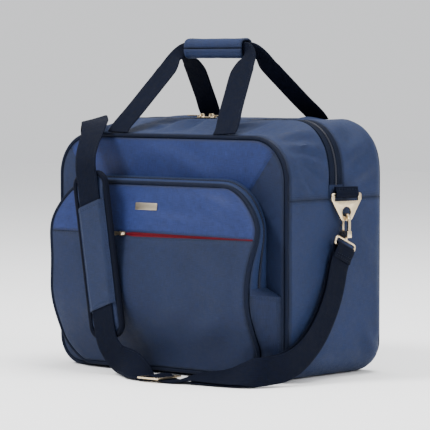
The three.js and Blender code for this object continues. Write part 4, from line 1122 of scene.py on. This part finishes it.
def face_grid(z_edge, z_far, rows):
    """A face panel: its first row follows the slot's lip, its last one the rounded rim."""
    rim = 2 * PIPING_RADIUS - 0.4
    columns = 74
    shares = np.sin(np.linspace(0, math.pi / 2, rows))
    u = np.linspace(-1, 1, columns)
    u = np.sign(u) * (1 - (1 - np.abs(u)) ** 1.25)
    P = np.zeros((rows, columns, 3))
    for i, share in enumerate(shares):
        z = mix(z_edge, z_far, share)
        reach = inner_reach(z, rim)
        P[i, :, 0] = reach * u
        sign = 1 if z_far > z_edge else -1
        lip = sign * accent_gap(P[i, :, 0]) * (1 - share)
        P[i, :, 2] = z + lip
        P[i, :, 1] = face_y(P[i, :, 2])
    return P


def inner_reach(z, rim):
    """Half width of the face inside its piping, measured square to the outline."""
    reach = half_width(z)
    for _ in range(3):
        slope = (half_width(z + 0.5) - half_width(z - 0.5))
        reach = half_width(z) - rim * math.sqrt(1 + min(slope ** 2, 60.0))
    return max(reach, 20.0)


def build_pocket_face():
    rim = 2 * PIPING_RADIUS
    panels = (("pocket_face_upper", POCKET_TOP - rim + 0.3, 46, "royal_cloth", 21,
               [((90, -140, 252), (150, -140, 224), 10, 1.3), ((-20, -140, 214), (90, -140, 206), 10, 1.0)]),
              ("pocket_face_lower", POCKET_BOTTOM + rim - 0.3, 80, "grey_cloth", 23,
               [((-40, -150, 170), (-20, -150, 60), 22, 2.0), ((60, -150, 180), (150, -150, 110), 18, 1.2),
                ((140, -150, 90), (60, -150, 34), 16, 1.6), ((168, -148, 178), (172, -148, 90), 7, 1.2)]))
    for node, far, rows, material, seed, folds in panels:
        P = face_grid(ACCENT_Z, far, rows)
        N = normals(P)
        N = N * np.sign(-N[..., 1:2].mean())
        distance = edge_distance(P)
        ends = np.minimum(distance, half_width_distance(P))
        hold = 1 - bell(ends, 12)
        P = lift(P, N, (1.2 + 1.3 * perlin(P, 80, seed) + 0.45 * perlin(P, 27, seed + 1)) * hold)
        P = lift(P, N, creases(P, folds) * hold)
        P = lift(P, N, puckers(P, ends, 14, 0.45, seed))
        P = rolled(P, N, ends, 1.3, 1.7)
        obj = cloth_shell(node + "_cloth", P, material, 1.6, edge_shade(ends, 2.4, 0.7), N)
        ride(obj, "root", node)
        sew(P, N, 0, (2.4,))
    build_accent()


def half_width_distance(P):
    return np.abs(half_width(P[..., 2]) - np.abs(P[..., 0]))


def build_accent():
    half = 3.6
    x = np.linspace(low("accent_zip_tape")[0] + 1, high("accent_zip_tape")[0] - 1, 120)
    z = np.linspace(-half, half, 9)
    P = np.stack(np.broadcast_arrays(x[:, None], 0.0, ACCENT_Z + z[None, :]), -1)
    P[..., 1] = face_y(P[..., 2]) + 1.7 + 0.5 * np.abs(z[None, :] / half)
    N = facing_normals(P, 1, -1)
    obj = cloth_shell("accent_zip_cloth", P, "accent_tape", 1.0, N=N)
    ride(obj, "root", "accent_zip_tape")
    obj.data.materials.append(MATERIALS["zip_tape"])
    for polygon in obj.data.polygons:
        if polygon.center.x / MM < low("accent_zip_slider")[0] + 1:
            polygon.material_index = 1
    opened = P[:, 4, 0] > low("accent_zip_slider")[0] + 3
    mid = P[opened, 4] + np.array([0, -0.4, 0])
    build_accent_teeth(mid)


def build_accent_teeth(centre):
    run = lengths(centre)
    pitch = 1.7
    points, faces = [], []
    corners = [(-1, -1), (1, -1), (1, 1), (-1, 1)]
    for i in range(int(run[-1] / pitch)):
        s = (i + 0.5) * pitch
        at = np.array([np.interp(s, run, centre[:, k]) for k in range(3)])
        shift = 0.5 if i % 2 else -0.5
        base = len(points)
        for depth in (0.2, -0.7):
            size = 1.0 if depth > 0 else 0.7
            for u, v in corners:
                points.append(at + np.array([u * 0.55 * size, depth, shift + v * 1.3 * size]))
        faces += [[base + k, base + (k + 1) % 4, base + 4 + (k + 1) % 4, base + 4 + k] for k in range(4)]
        faces += [[base + 3, base + 2, base + 1, base], [base + 4, base + 5, base + 6, base + 7]]
    obj = link("accent_zip_teeth", np.array(points), faces, MATERIALS["accent_tape"], sharp=30)
    flip_if_inside_out(obj)
    ride(obj, "root")


# ---------------------------------------------------------------- webbing


def stations(rows, steps, offset=0.0):
    """Centres, across and inner directions, and half widths and thicknesses along a webbing route.

    A row is a point, the direction its inner face looks in, and maybe a half width and thickness."""
    points = [np.array(r[0], float) for r in rows]
    facing = [unit(np.array(r[1], float)) for r in rows]
    halves = [r[2] if len(r) > 2 else WEBBING_HALF for r in rows]
    thicks = [r[3] if len(r) > 3 else WEBBING_THICK for r in rows]
    t = np.linspace(0, 1, steps + 1)
    centres = np.array([catmull(points, s) for s in t])
    tangent = unit(np.gradient(centres, axis=0))
    look = np.array([catmull(facing, s, False) for s in t])
    across = unit(np.cross(look, tangent))
    inner = unit(np.cross(tangent, across))
    place = t * (len(rows) - 1)
    half = np.interp(place, range(len(rows)), halves)
    thick = np.interp(place, range(len(rows)), thicks)
    return centres + inner * offset, across, inner, half, thick


def webbing(name, line, twist=0.0, seed=0.0):
    centres, across, inner, half, thick = line
    wave = perlin(centres, 55, seed) if twist else np.zeros(len(centres))
    sections = [ribbon_section(h, t, cup=twist * w) for h, t, w in zip(half, thick, wave)]
    return sweep_section(name, centres, across, inner, sections)


def sew_webbing(line, body, span):
    """Stitches both edges of a webbing, on both faces, over a share of its length."""
    inset = 2.6
    centres, across, inner, half, thick = line
    a, b = (int(round(s * (len(centres) - 1))) for s in span)
    cut = slice(a, b + 1)
    for side in (-1, 1):
        edge = centres[cut] + across[cut] * (side * (half[cut] - inset))[:, None]
        for face in (1, -1):
            path = edge + inner[cut] * (face * (thick[cut] / 2 + 0.05))[:, None]
            stitch_line(path, inner[cut] * face, body, "thread_navy")


def handle_rows(facing, base_y, base_z):
    """One handle from its right foot over the grip to its left foot."""
    grip_y = 4.6 * facing
    spacing = BODY_HALF - TOP_RADIUS - HANDLE_INSET
    grip_half = 53
    up = lambda s: mix(base_z, GRIP_Z, s)
    to_mid = lambda s: mix(base_y, grip_y, s)
    lean = (0, -facing * 0.75, -0.66)
    leg = [((spacing - inward, to_mid(share), up(share)), lean)
           for inward, share in ((0, 0), (0.6, 0.07), (9, 0.25), (19, 0.5), (28, 0.74))]
    leg += [((grip_half + 15, to_mid(0.9), up(0.9)), (0, -facing * 0.9, -0.4), 12.5, 2.6),
            ((grip_half + 4, to_mid(1), up(0.985)), (0, -facing, 0), 10, 4),
            ((grip_half * 0.8, to_mid(1), up(1)), (0, -facing, 0), 9, 5),
            ((0, to_mid(1), up(1)), (0, -facing, 0), 9, 5)]
    other = [((-p[0], p[1], p[2]), *rest) for p, *rest in reversed(leg[:-1])]
    rows = []
    for (x, y, z), *rest in leg + other:
        rise = (z - base_z) / (GRIP_Z - base_z)
        rows.append(((x - 2.5 * rise, y, z), *rest))
    return rows


def build_handles():
    rear_y = REAR - REAR_RADIUS / 2 + 1
    rear_z = TOP + CROWN + 1.1 - rear_rounding(rear_y - 1.5)
    feet = (("handle_front", -1, FRONT + 2, TOP + 1.4), ("handle_rear", 1, rear_y, rear_z))
    for node, facing, y, z in feet:
        line = stations(handle_rows(facing, y, z), 150)
        obj = webbing(node + "_webbing", line, twist=1.0, seed=facing + 3.0)
        ride(obj, node, node)
        sew_webbing(line, node, span=(0, 0.36))
        sew_webbing(line, node, span=(0.64, 1))


def wrap_section(angles, half_y, half_z, power=3.2):
    """A rounded rectangle, by angle in degrees from +Y towards +Z."""
    a = np.radians(angles)
    c, s = np.cos(a), np.sin(a)
    r = (np.abs(c / half_y) ** power + np.abs(s / half_z) ** power) ** (-1 / power)
    return r * c, r * s


def build_grip():
    """The padded wrap round both grips. The flap closes it over the top towards the front."""
    centre_x = (low("grip_wrap")[0] + high("grip_wrap")[0]) / 2
    half_x = (high("grip_wrap")[0] - low("grip_wrap")[0]) / 2
    parts = (("grip_wrap", "handle_front", np.linspace(182, 416, 42)),
             ("grip_flap", "grip_flap", np.linspace(58, 176, 28)))
    x = centre_x + eased_steps(-half_x, half_x, 4, 1.6)
    for node, body, angles in parts:
        y, z = wrap_section(angles, GRIP_HALF_Y, GRIP_HALF_Z)
        P = np.stack(np.broadcast_arrays(x[:, None], y[None, :], GRIP_Z + z[None, :]), -1).copy()
        N = outward(P, (centre_x, 0, GRIP_Z))
        ends = side_distance(P, 0)
        lips = side_distance(P, 1)
        P = lift(P, N, 0.5 * perlin(P, 18, 31) * (1 - bell(ends, 4)))
        P = lift(P, N, 0.5 * bell(ends - 3, 2.5) + 0.4 * bell(lips - 3, 2.5))
        P = rolled(P, N, np.minimum(ends, lips), 0.7, 1.2)
        obj = cloth_shell(node + "_cloth", P, "body_cloth", 2.0,
                          edge_shade(np.minimum(ends, lips), 1.6, 0.6), N)
        ride(obj, body, node)
        sew(P, N, 0, (5, -5), body)
        sew(P, N, 1, (5,) if node == "grip_wrap" else (-5,), body)


# ---------------------------------------------------------------- strap

HARDWARE_X = BODY_HALF + 10.5
ADJUSTER = (low("strap_adjuster") + high("strap_adjuster")) / 2
ADJUSTER_PITCH = 17
ADJUSTER_RUN = 12
PAD_LOW = low("pad_binding")
PAD_HIGH = high("pad_binding")
PAD_X = (PAD_LOW[0] + PAD_HIGH[0]) / 2
PAD_Y = (PAD_LOW[1] + PAD_HIGH[1]) / 2
PAD_Z = (PAD_LOW[2] + PAD_HIGH[2]) / 2
PAD_LEAN = math.radians(9)
STRAP_Y = PAD_Y - 6.1
FLOOR_Z = 2.6


def pad_point(along):
    return (PAD_X - along * math.sin(PAD_LEAN), STRAP_Y, PAD_Z + along * math.cos(PAD_LEAN))


def strap_routes():
    ax, ay = ADJUSTER[0], ADJUSTER[1]
    doubled = [
        ((HARDWARE_X, -6, RING_BAR_Z - 95), (-1, 0, 0)),
        ((HARDWARE_X + 0.5, -20, RING_BAR_Z - 137), (-1, 0, 0)),
        ((HARDWARE_X + 1.5, 55 + FRONT, 68), (-1, 0, 0)),
        ((HARDWARE_X + 3.5, 15 + FRONT, 38), (-1, 0, 0)),
        ((HARDWARE_X + 2.5, FRONT - 21, 25.5), (-0.95, 0.25, 0)),
        ((HARDWARE_X - 6.5, FRONT - 51, 22), (-0.5, 0.85, 0)),
        ((HARDWARE_X - 32.5, FRONT - 65, 19), (0, 0.75, -0.65)),
        ((HARDWARE_X - 68.5, ay + 13, 13), (0, 0.4, -0.9)),
        ((ax + 58, ay + 10, 9.5), (0, 0.2, -1)),
    ]
    single = [
        ((ax + ADJUSTER_PITCH + ADJUSTER_RUN, ay + 1, FLOOR_Z), (0, 0, -1)),
        ((ax + ADJUSTER_PITCH, ay, FLOOR_Z), (0, 0, -1)),
        ((ax, ay, 9.2), (0, 0, -1)),
        ((ax - ADJUSTER_PITCH, ay, FLOOR_Z), (0, 0, -1)),
        ((ax - ADJUSTER_PITCH - ADJUSTER_RUN, ay + 1, 3.2), (0, 0, -1)),
        ((ax - 62, ay + 10, 18), (0, 0.8, -0.55)),
        ((PAD_X + 40, STRAP_Y, 25), (0, 1, -0.05)),
        ((PAD_X + 22, STRAP_Y, 44), (0, 1, 0)),
        (pad_point(-98), (0, 1, 0)), (pad_point(-60), (0, 1, 0)), (pad_point(0), (0, 1, 0)),
        (pad_point(60), (0, 1, 0)), (pad_point(101), (0, 1, 0)),
        ((PAD_X - 20.5, STRAP_Y + 1, PAD_Z + 125), (0, 1, -0.1)),
        ((PAD_X - 29, FRONT - 51, TOP - 21), (0, 0.85, -0.5)),
        ((PAD_X - 42, FRONT - 28, TOP - 2), (0, 0.65, -0.75)),
        ((72 - BODY_HALF, FRONT - 2, TOP + 11), (0.1, 0.3, -0.95)),
        ((50 - BODY_HALF, FRONT + 21, TOP + 16), (0.15, 0.05, -1)),
        ((20 - BODY_HALF, -55, TOP + 16), (0.5, 0, -0.85)),
        ((-1 - BODY_HALF, -39, RING_BAR_Z + 82), (0.95, 0, -0.3)),
    ]
    return doubled, single


def sewn_in(name, share):
    """The place where the strap lies between the two sides of its end loop."""
    rise = np.array(strap_end_axes(name)[0])
    return tuple(np.array(strap_eye(name)) + rise * share)


def part_of(line, a, b):
    return tuple(data[a:b] for data in line)


def build_strap():
    doubled, single = strap_routes()
    right_start = [(sewn_in("right", 13), (-1, 0, 0))]
    left_stop = [(sewn_in("left", 12), (0.95, 0.1, -0.3))]
    rows = right_start + doubled + single + left_stop
    steps = 14
    line = stations(rows, steps * (len(rows) - 1))
    bar = (len(right_start) + len(doubled) + 2) * steps

    obj = webbing("shoulder_strap_right", part_of(line, 0, bar + 1), twist=0.5, seed=41)
    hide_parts("shoulder_strap")
    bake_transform(obj)
    left = part_of(line, bar, None)
    obj = webbing("shoulder_strap_left", left, twist=0.5, seed=42)
    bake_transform(obj)
    sew_webbing(left, "root", span=(0.1, 0.72))

    centres, across, inner, half, thick = stations(right_start + doubled, 150, WEBBING_THICK + 1.2)
    sag = 2.8 * np.sin(np.linspace(0, 1, len(centres)) * math.pi) ** 2
    back = (centres + inner * sag[:, None], across, inner, half, thick)
    obj = webbing("strap_return_webbing", back, twist=0.6, seed=43)
    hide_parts("strap_return")
    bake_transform(obj)


def loop_webbing(node, body, bar, rise, across, height, reach):
    """A webbing loop round a bar: flat sides that meet in a sewn end."""
    bar, rise, across = (np.array(v, float) for v in (bar, rise, across))
    rise, across = unit(rise), unit(across)
    side = unit(np.cross(across, rise))
    radius = 4.1
    half = [(radius * math.cos(a), -radius * math.sin(a)) for a in np.linspace(0, math.pi / 2, 9)]
    leg = [(mix(radius, 1.6, smooth(np.array(h), 0, height * 0.8)), h)
           for h in np.linspace(1, height, 14)[1:]]
    right = leg[::-1] + half
    left = [(-s, h) for s, h in reversed(right[:-1])]
    path = np.array([bar + side * s + rise * h for s, h in right + left])
    tangent = unit(np.gradient(path, axis=0))
    inner = unit(np.cross(tangent, across))
    count = len(path)
    line = (path, np.tile(across, (count, 1)), inner, np.full(count, reach), np.full(count, 2.0))
    obj = webbing(node + "_webbing", line)
    ride(obj, body, node)
    for k in (3, 6):
        sides = line[0][k], line[0][count - 1 - k]
        for point, face in zip(sides, (side, -side)):
            u = np.linspace(-reach + 3, reach - 3, 12)[:, None]
            stitch_line(point + across * u + face * 1.1, np.tile(face, (12, 1)), body, "thread_navy")


def build_hardware_webbing():
    yaw = math.radians(75)
    for sign, name in ((1, "right"), (-1, "left")):
        bar = (sign * HARDWARE_X, 8, RING_BAR_Z)
        along_bar = (math.cos(yaw), sign * math.sin(yaw), 0)
        loop_webbing(f"side_tab_{name}", "root", bar, (0, 0, 1 if sign > 0 else -1), along_bar, 10, 18.6)
        eye = np.array(strap_eye(name))
        rise, across = strap_end_axes(name)
        loop_webbing(f"strap_end_{name}", f"strap_end_{name}", eye, rise, across, 18, 18.6)


def strap_end_axes(name):
    if name == "right":
        return (0, -0.37461, -0.92718), (0, 0.92718, -0.37461)
    return (0.10691, -0.78801, 0.60631), (0.13684, 0.61566, 0.77604)


def strap_eye(name):
    if name == "right":
        return (HARDWARE_X, 3.88, RING_BAR_Z - 73.1)
    return (-BODY_HALF - 4.33, -17.27, RING_BAR_Z + 64.68)


# ---------------------------------------------------------------- shoulder pad


def pad_frame():
    up = np.array([-math.sin(PAD_LEAN), 0, math.cos(PAD_LEAN)])
    right = np.array([math.cos(PAD_LEAN), 0, math.sin(PAD_LEAN)])
    return np.array([PAD_X, PAD_Y, PAD_Z]), right, up


def rounded_rectangle(half_x, half_z, radius, step=3.0):
    rows = chain(arc(half_x - radius, half_z - radius, radius, 0, 90, 10),
                 level(half_z, half_x - radius, radius - half_x, 1, step),
                 arc(radius - half_x, half_z - radius, radius, 90, 180, 10),
                 straight(-half_x, half_z - radius, radius - half_z, step),
                 arc(radius - half_x, radius - half_z, radius, 180, 270, 10),
                 level(-half_z, radius - half_x, half_x - radius, -1, step),
                 arc(half_x - radius, radius - half_z, radius, -90, 0, 10),
                 straight(half_x, radius - half_z, half_z - radius, step))
    return rows[:-1]


def pad_core_mesh():
    origin, right, up = pad_frame()
    outline = rounded_rectangle(27, 111, 14)
    rings = np.concatenate([[1], np.linspace(0.97, 0.06, 16)])
    front = []
    for share in rings:
        thick = 2.9 * (1 - share ** 8 * 0.35)
        xz = outline[:, :2] * share
        flat = origin + np.outer(xz[:, 0], right) + np.outer(xz[:, 1], up)
        front.append(flat + np.array([0, -thick, 0]))
    P = np.array(front)
    N = facing_normals(P, 1, -1)
    return closed_disc("shoulder_pad_core", P, N, 5.8, "pad_cloth",
                       np.zeros(P.shape[:2]))


def inflate(obj, voxel, pressure, cap, frames=20):
    """Swells a padded piece as cloth under inner pressure, and keeps every point within cap of its start."""
    scene = bpy.context.scene
    remesh = obj.modifiers.new("remesh", "REMESH")
    remesh.mode = "VOXEL"
    remesh.voxel_size = voxel * MM
    remesh.use_smooth_shade = True
    apply_modifiers(obj)
    start = np.array([v.co for v in obj.data.vertices])
    sim = obj.modifiers.new("cloth", "CLOTH")
    sim.settings.use_pressure = True
    sim.settings.uniform_pressure_force = pressure
    sim.settings.quality = 6
    sim.settings.effector_weights.gravity = 0
    scene.frame_start = 1
    scene.frame_end = frames
    for step in range(1, frames + 1):
        scene.frame_set(step)
    apply_modifiers(obj)
    scene.frame_set(1)
    end = np.array([v.co for v in obj.data.vertices])
    move = end - start
    size = np.linalg.norm(move, axis=1, keepdims=True)
    limit = cap * MM
    end = start + move * np.minimum(1, limit / np.maximum(size, 1e-9))
    obj.data.vertices.foreach_set("co", end.astype(np.float32).ravel())
    obj.data.update()
    subdivide = obj.modifiers.new("smooth", "SUBSURF")
    subdivide.levels = 1
    subdivide.render_levels = 1
    apply_modifiers(obj)


def apply_modifiers(obj):
    graph = bpy.context.evaluated_depsgraph_get()
    mesh = bpy.data.meshes.new_from_object(obj.evaluated_get(graph), depsgraph=graph)
    obj.modifiers.clear()
    old = obj.data
    obj.data = mesh
    bpy.data.meshes.remove(old)


def plane_uv(obj, right, up):
    """Gives a remeshed piece weave coordinates in millimetres along its own two directions."""
    mesh = obj.data
    layer = mesh.uv_layers.new(name="UVMap")
    co = np.zeros(len(mesh.vertices) * 3, np.float32)
    mesh.vertices.foreach_get("co", co)
    co = co.reshape(-1, 3)
    uv = np.stack([co @ right, co @ up + co[:, 1] * 0.7], 1)
    loops = np.zeros(len(mesh.loops), int)
    mesh.loops.foreach_get("vertex_index", loops)
    layer.data.foreach_set("uv", uv[loops].astype(np.float32).ravel())


def build_pad():
    origin, right, up = pad_frame()
    core = pad_core_mesh()
    inflate(core, 3.5, 4.0, 1.8)
    plane_uv(core, right, up)
    core.data.polygons.foreach_set("use_smooth", [True] * len(core.data.polygons))
    ride(core, "shoulder_pad", "shoulder_pad")

    outline = rounded_rectangle(28.2, 112.2, 15.4, 2.5)
    path = origin + np.outer(outline[:, 0], right) + np.outer(outline[:, 1], up)
    binding = tube("pad_binding_tape", path, 4.1, MATERIALS["pad_binding"], 18, flat=1.05)
    ride(binding, "shoulder_pad", "pad_binding")
    inner = rounded_rectangle(25.2, 109.2, 12.4, 2.5)
    inner = origin + np.outer(inner[:, 0], right) + np.outer(inner[:, 1], up)
    for face in (-1, 1):
        stitch_ring(inner + np.array([0, face * 4.0, 0]), face, "shoulder_pad", "thread_navy")
    build_sleeve(origin, right, up)


def build_sleeve(origin, right, up):
    """The cloth sleeve sewn down both sides over the strap, with hemmed slanting ends."""
    half_length = 77
    half = 25
    v = np.linspace(-1, 1, 90)
    u = eased_steps(-half, half, 2.2, 1.4)
    P = np.zeros((len(v), len(u), 3))
    bow = 1 - smooth(np.abs(u), 17.5, 24.0)
    for i, s in enumerate(v):
        slant = 5.0 * (u / half) * abs(s)
        along = s * (half_length - 5) + slant
        height = -(4.4 + 4.6 * bow + 0.5 * np.sin(s * 9) * bow)
        P[i] = (origin + np.outer(u, right) + np.outer(along * np.ones(len(u)), up)
                + np.outer(height, np.array([0, 1.0, 0])))
    N = normals(P)
    N = N * np.sign(-N[..., 1:2].mean())
    ends = side_distance(P, 0)
    P = lift(P, N, 0.35 * perlin(P, 16, 51) + 0.45 * bell(ends - 3.0, 2.4))
    obj = cloth_shell("pad_sleeve_cloth", P, "pad_cloth", 1.0,
                      edge_shade(ends, 1.6, 0.5), N)
    ride(obj, "shoulder_pad", "pad_sleeve")
    sew(P, N, 0, (5.5, -5.5), "shoulder_pad")
    sew(P, N, 1, (2.0, -2.0), "shoulder_pad")


# ---------------------------------------------------------------- carried-over hardware

METAL_NODES = ["main_zip_a_slider", "main_zip_a_puller", "main_zip_b_slider", "main_zip_b_puller",
               "pocket_zip_a_slider", "pocket_zip_a_puller", "pocket_zip_b_slider", "pocket_zip_b_puller",
               "accent_zip_slider", "accent_zip_puller", "ring_right", "ring_left", "hook_right", "hook_left",
               "gate_right", "gate_left", "eye_right", "eye_left", "strap_adjuster"]


def soften(node, material, width=0.35):
    """A copy of a hard CAD piece with rolled edges, standing for it."""
    source = NODES[node]
    body = source["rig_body"]
    mesh = source.data.copy()
    obj = bpy.data.objects.new(node + "_metal", mesh)
    bpy.context.scene.collection.objects.link(obj)
    mesh.materials.clear()
    mesh.materials.append(MATERIALS[material])
    weld = obj.modifiers.new("weld", "WELD")
    weld.merge_threshold = 0.00001
    flatten = obj.modifiers.new("flatten", "DECIMATE")
    flatten.decimate_type = "DISSOLVE"
    flatten.angle_limit = math.radians(2)
    bevel = obj.modifiers.new("bevel", "BEVEL")
    bevel.width = width * MM
    bevel.segments = 2
    bevel.limit_method = "ANGLE"
    bevel.angle_limit = math.radians(34)
    apply_modifiers(obj)
    obj.data.polygons.foreach_set("use_smooth", [True] * len(obj.data.polygons))
    obj.data.set_sharp_from_angle(angle=math.radians(48))
    ride(obj, body, node)
    return obj


def build_hardware():
    for node in METAL_NODES:
        soften(node, "gold_metal", 0.3)
    soften("badge", "badge_plate", 0.35)
    board = NODES["base_board"]
    board.data.materials.clear()
    board.data.materials.append(MATERIALS["board"])


# ---------------------------------------------------------------- floor, light and camera


def build_stage():
    n = Nodes("floor")
    patch = n.noise(n.place(), 3, 2.0, 0.5)
    n.join(n.blend(patch, (0.93, 0.93, 0.93), (0.96, 0.96, 0.96)), n.shader.inputs["Base Color"])
    n.set(Roughness=0.8)
    size = 6000
    points = np.array([[-size, -size, 0], [size, -size, 0], [size, size, 0], [-size, size, 0]], float)
    floor = link("floor", points, [[0, 1, 2, 3]], n.material)
    world = bpy.data.worlds.new("studio")
    bpy.context.scene.world = world
    world.use_nodes = True
    background = world.node_tree.nodes["Background"]
    background.inputs["Color"].default_value = (0.97, 0.98, 1.0, 1)
    background.inputs["Strength"].default_value = 1.0
    area("key", (-1.1, -2.4, 3.0), (0, -0.1, 0.15), 1.2, 190)
    area("top", (0.3, 0.5, 3.2), (0, 0, 0.2), 1.8, 120)
    area("side", (3.0, -0.2, 1.7), (0.1, 0, 0.2), 1.4, 60)


def area(name, place, target, size, power):
    light = bpy.data.lights.new(name, "AREA")
    light.shape = "DISK"
    light.size = size
    light.energy = power
    obj = bpy.data.objects.new(name, light)
    bpy.context.scene.collection.objects.link(obj)
    obj.location = place
    obj.rotation_euler = (Vector(target) - Vector(place)).to_track_quat("-Z", "Y").to_euler()


def build_camera():
    azimuth = math.radians(41.0)
    pitch = math.radians(3.1)
    distance = 3.83
    lens = 227.9
    target = Vector((-0.0076, 0, 0.2141))
    away = Vector((math.sin(azimuth) * math.cos(pitch), -math.cos(azimuth) * math.cos(pitch),
                   math.sin(pitch)))
    data = bpy.data.cameras.new("camera")
    data.sensor_width = 36
    data.lens = lens
    camera = bpy.data.objects.new("camera", data)
    bpy.context.scene.collection.objects.link(camera)
    camera.location = target + away * distance
    camera.rotation_euler = (-away).to_track_quat("-Z", "Y").to_euler()
    bpy.context.scene.camera = camera


build_camera()
build_stage()
build_body()
build_front_and_back()
build_piping()
build_main_zip()
build_pocket_sides()
build_pocket_face()
build_handles()
build_grip()
build_strap()
build_hardware_webbing()
build_pad()
build_hardware()
make_stitches()
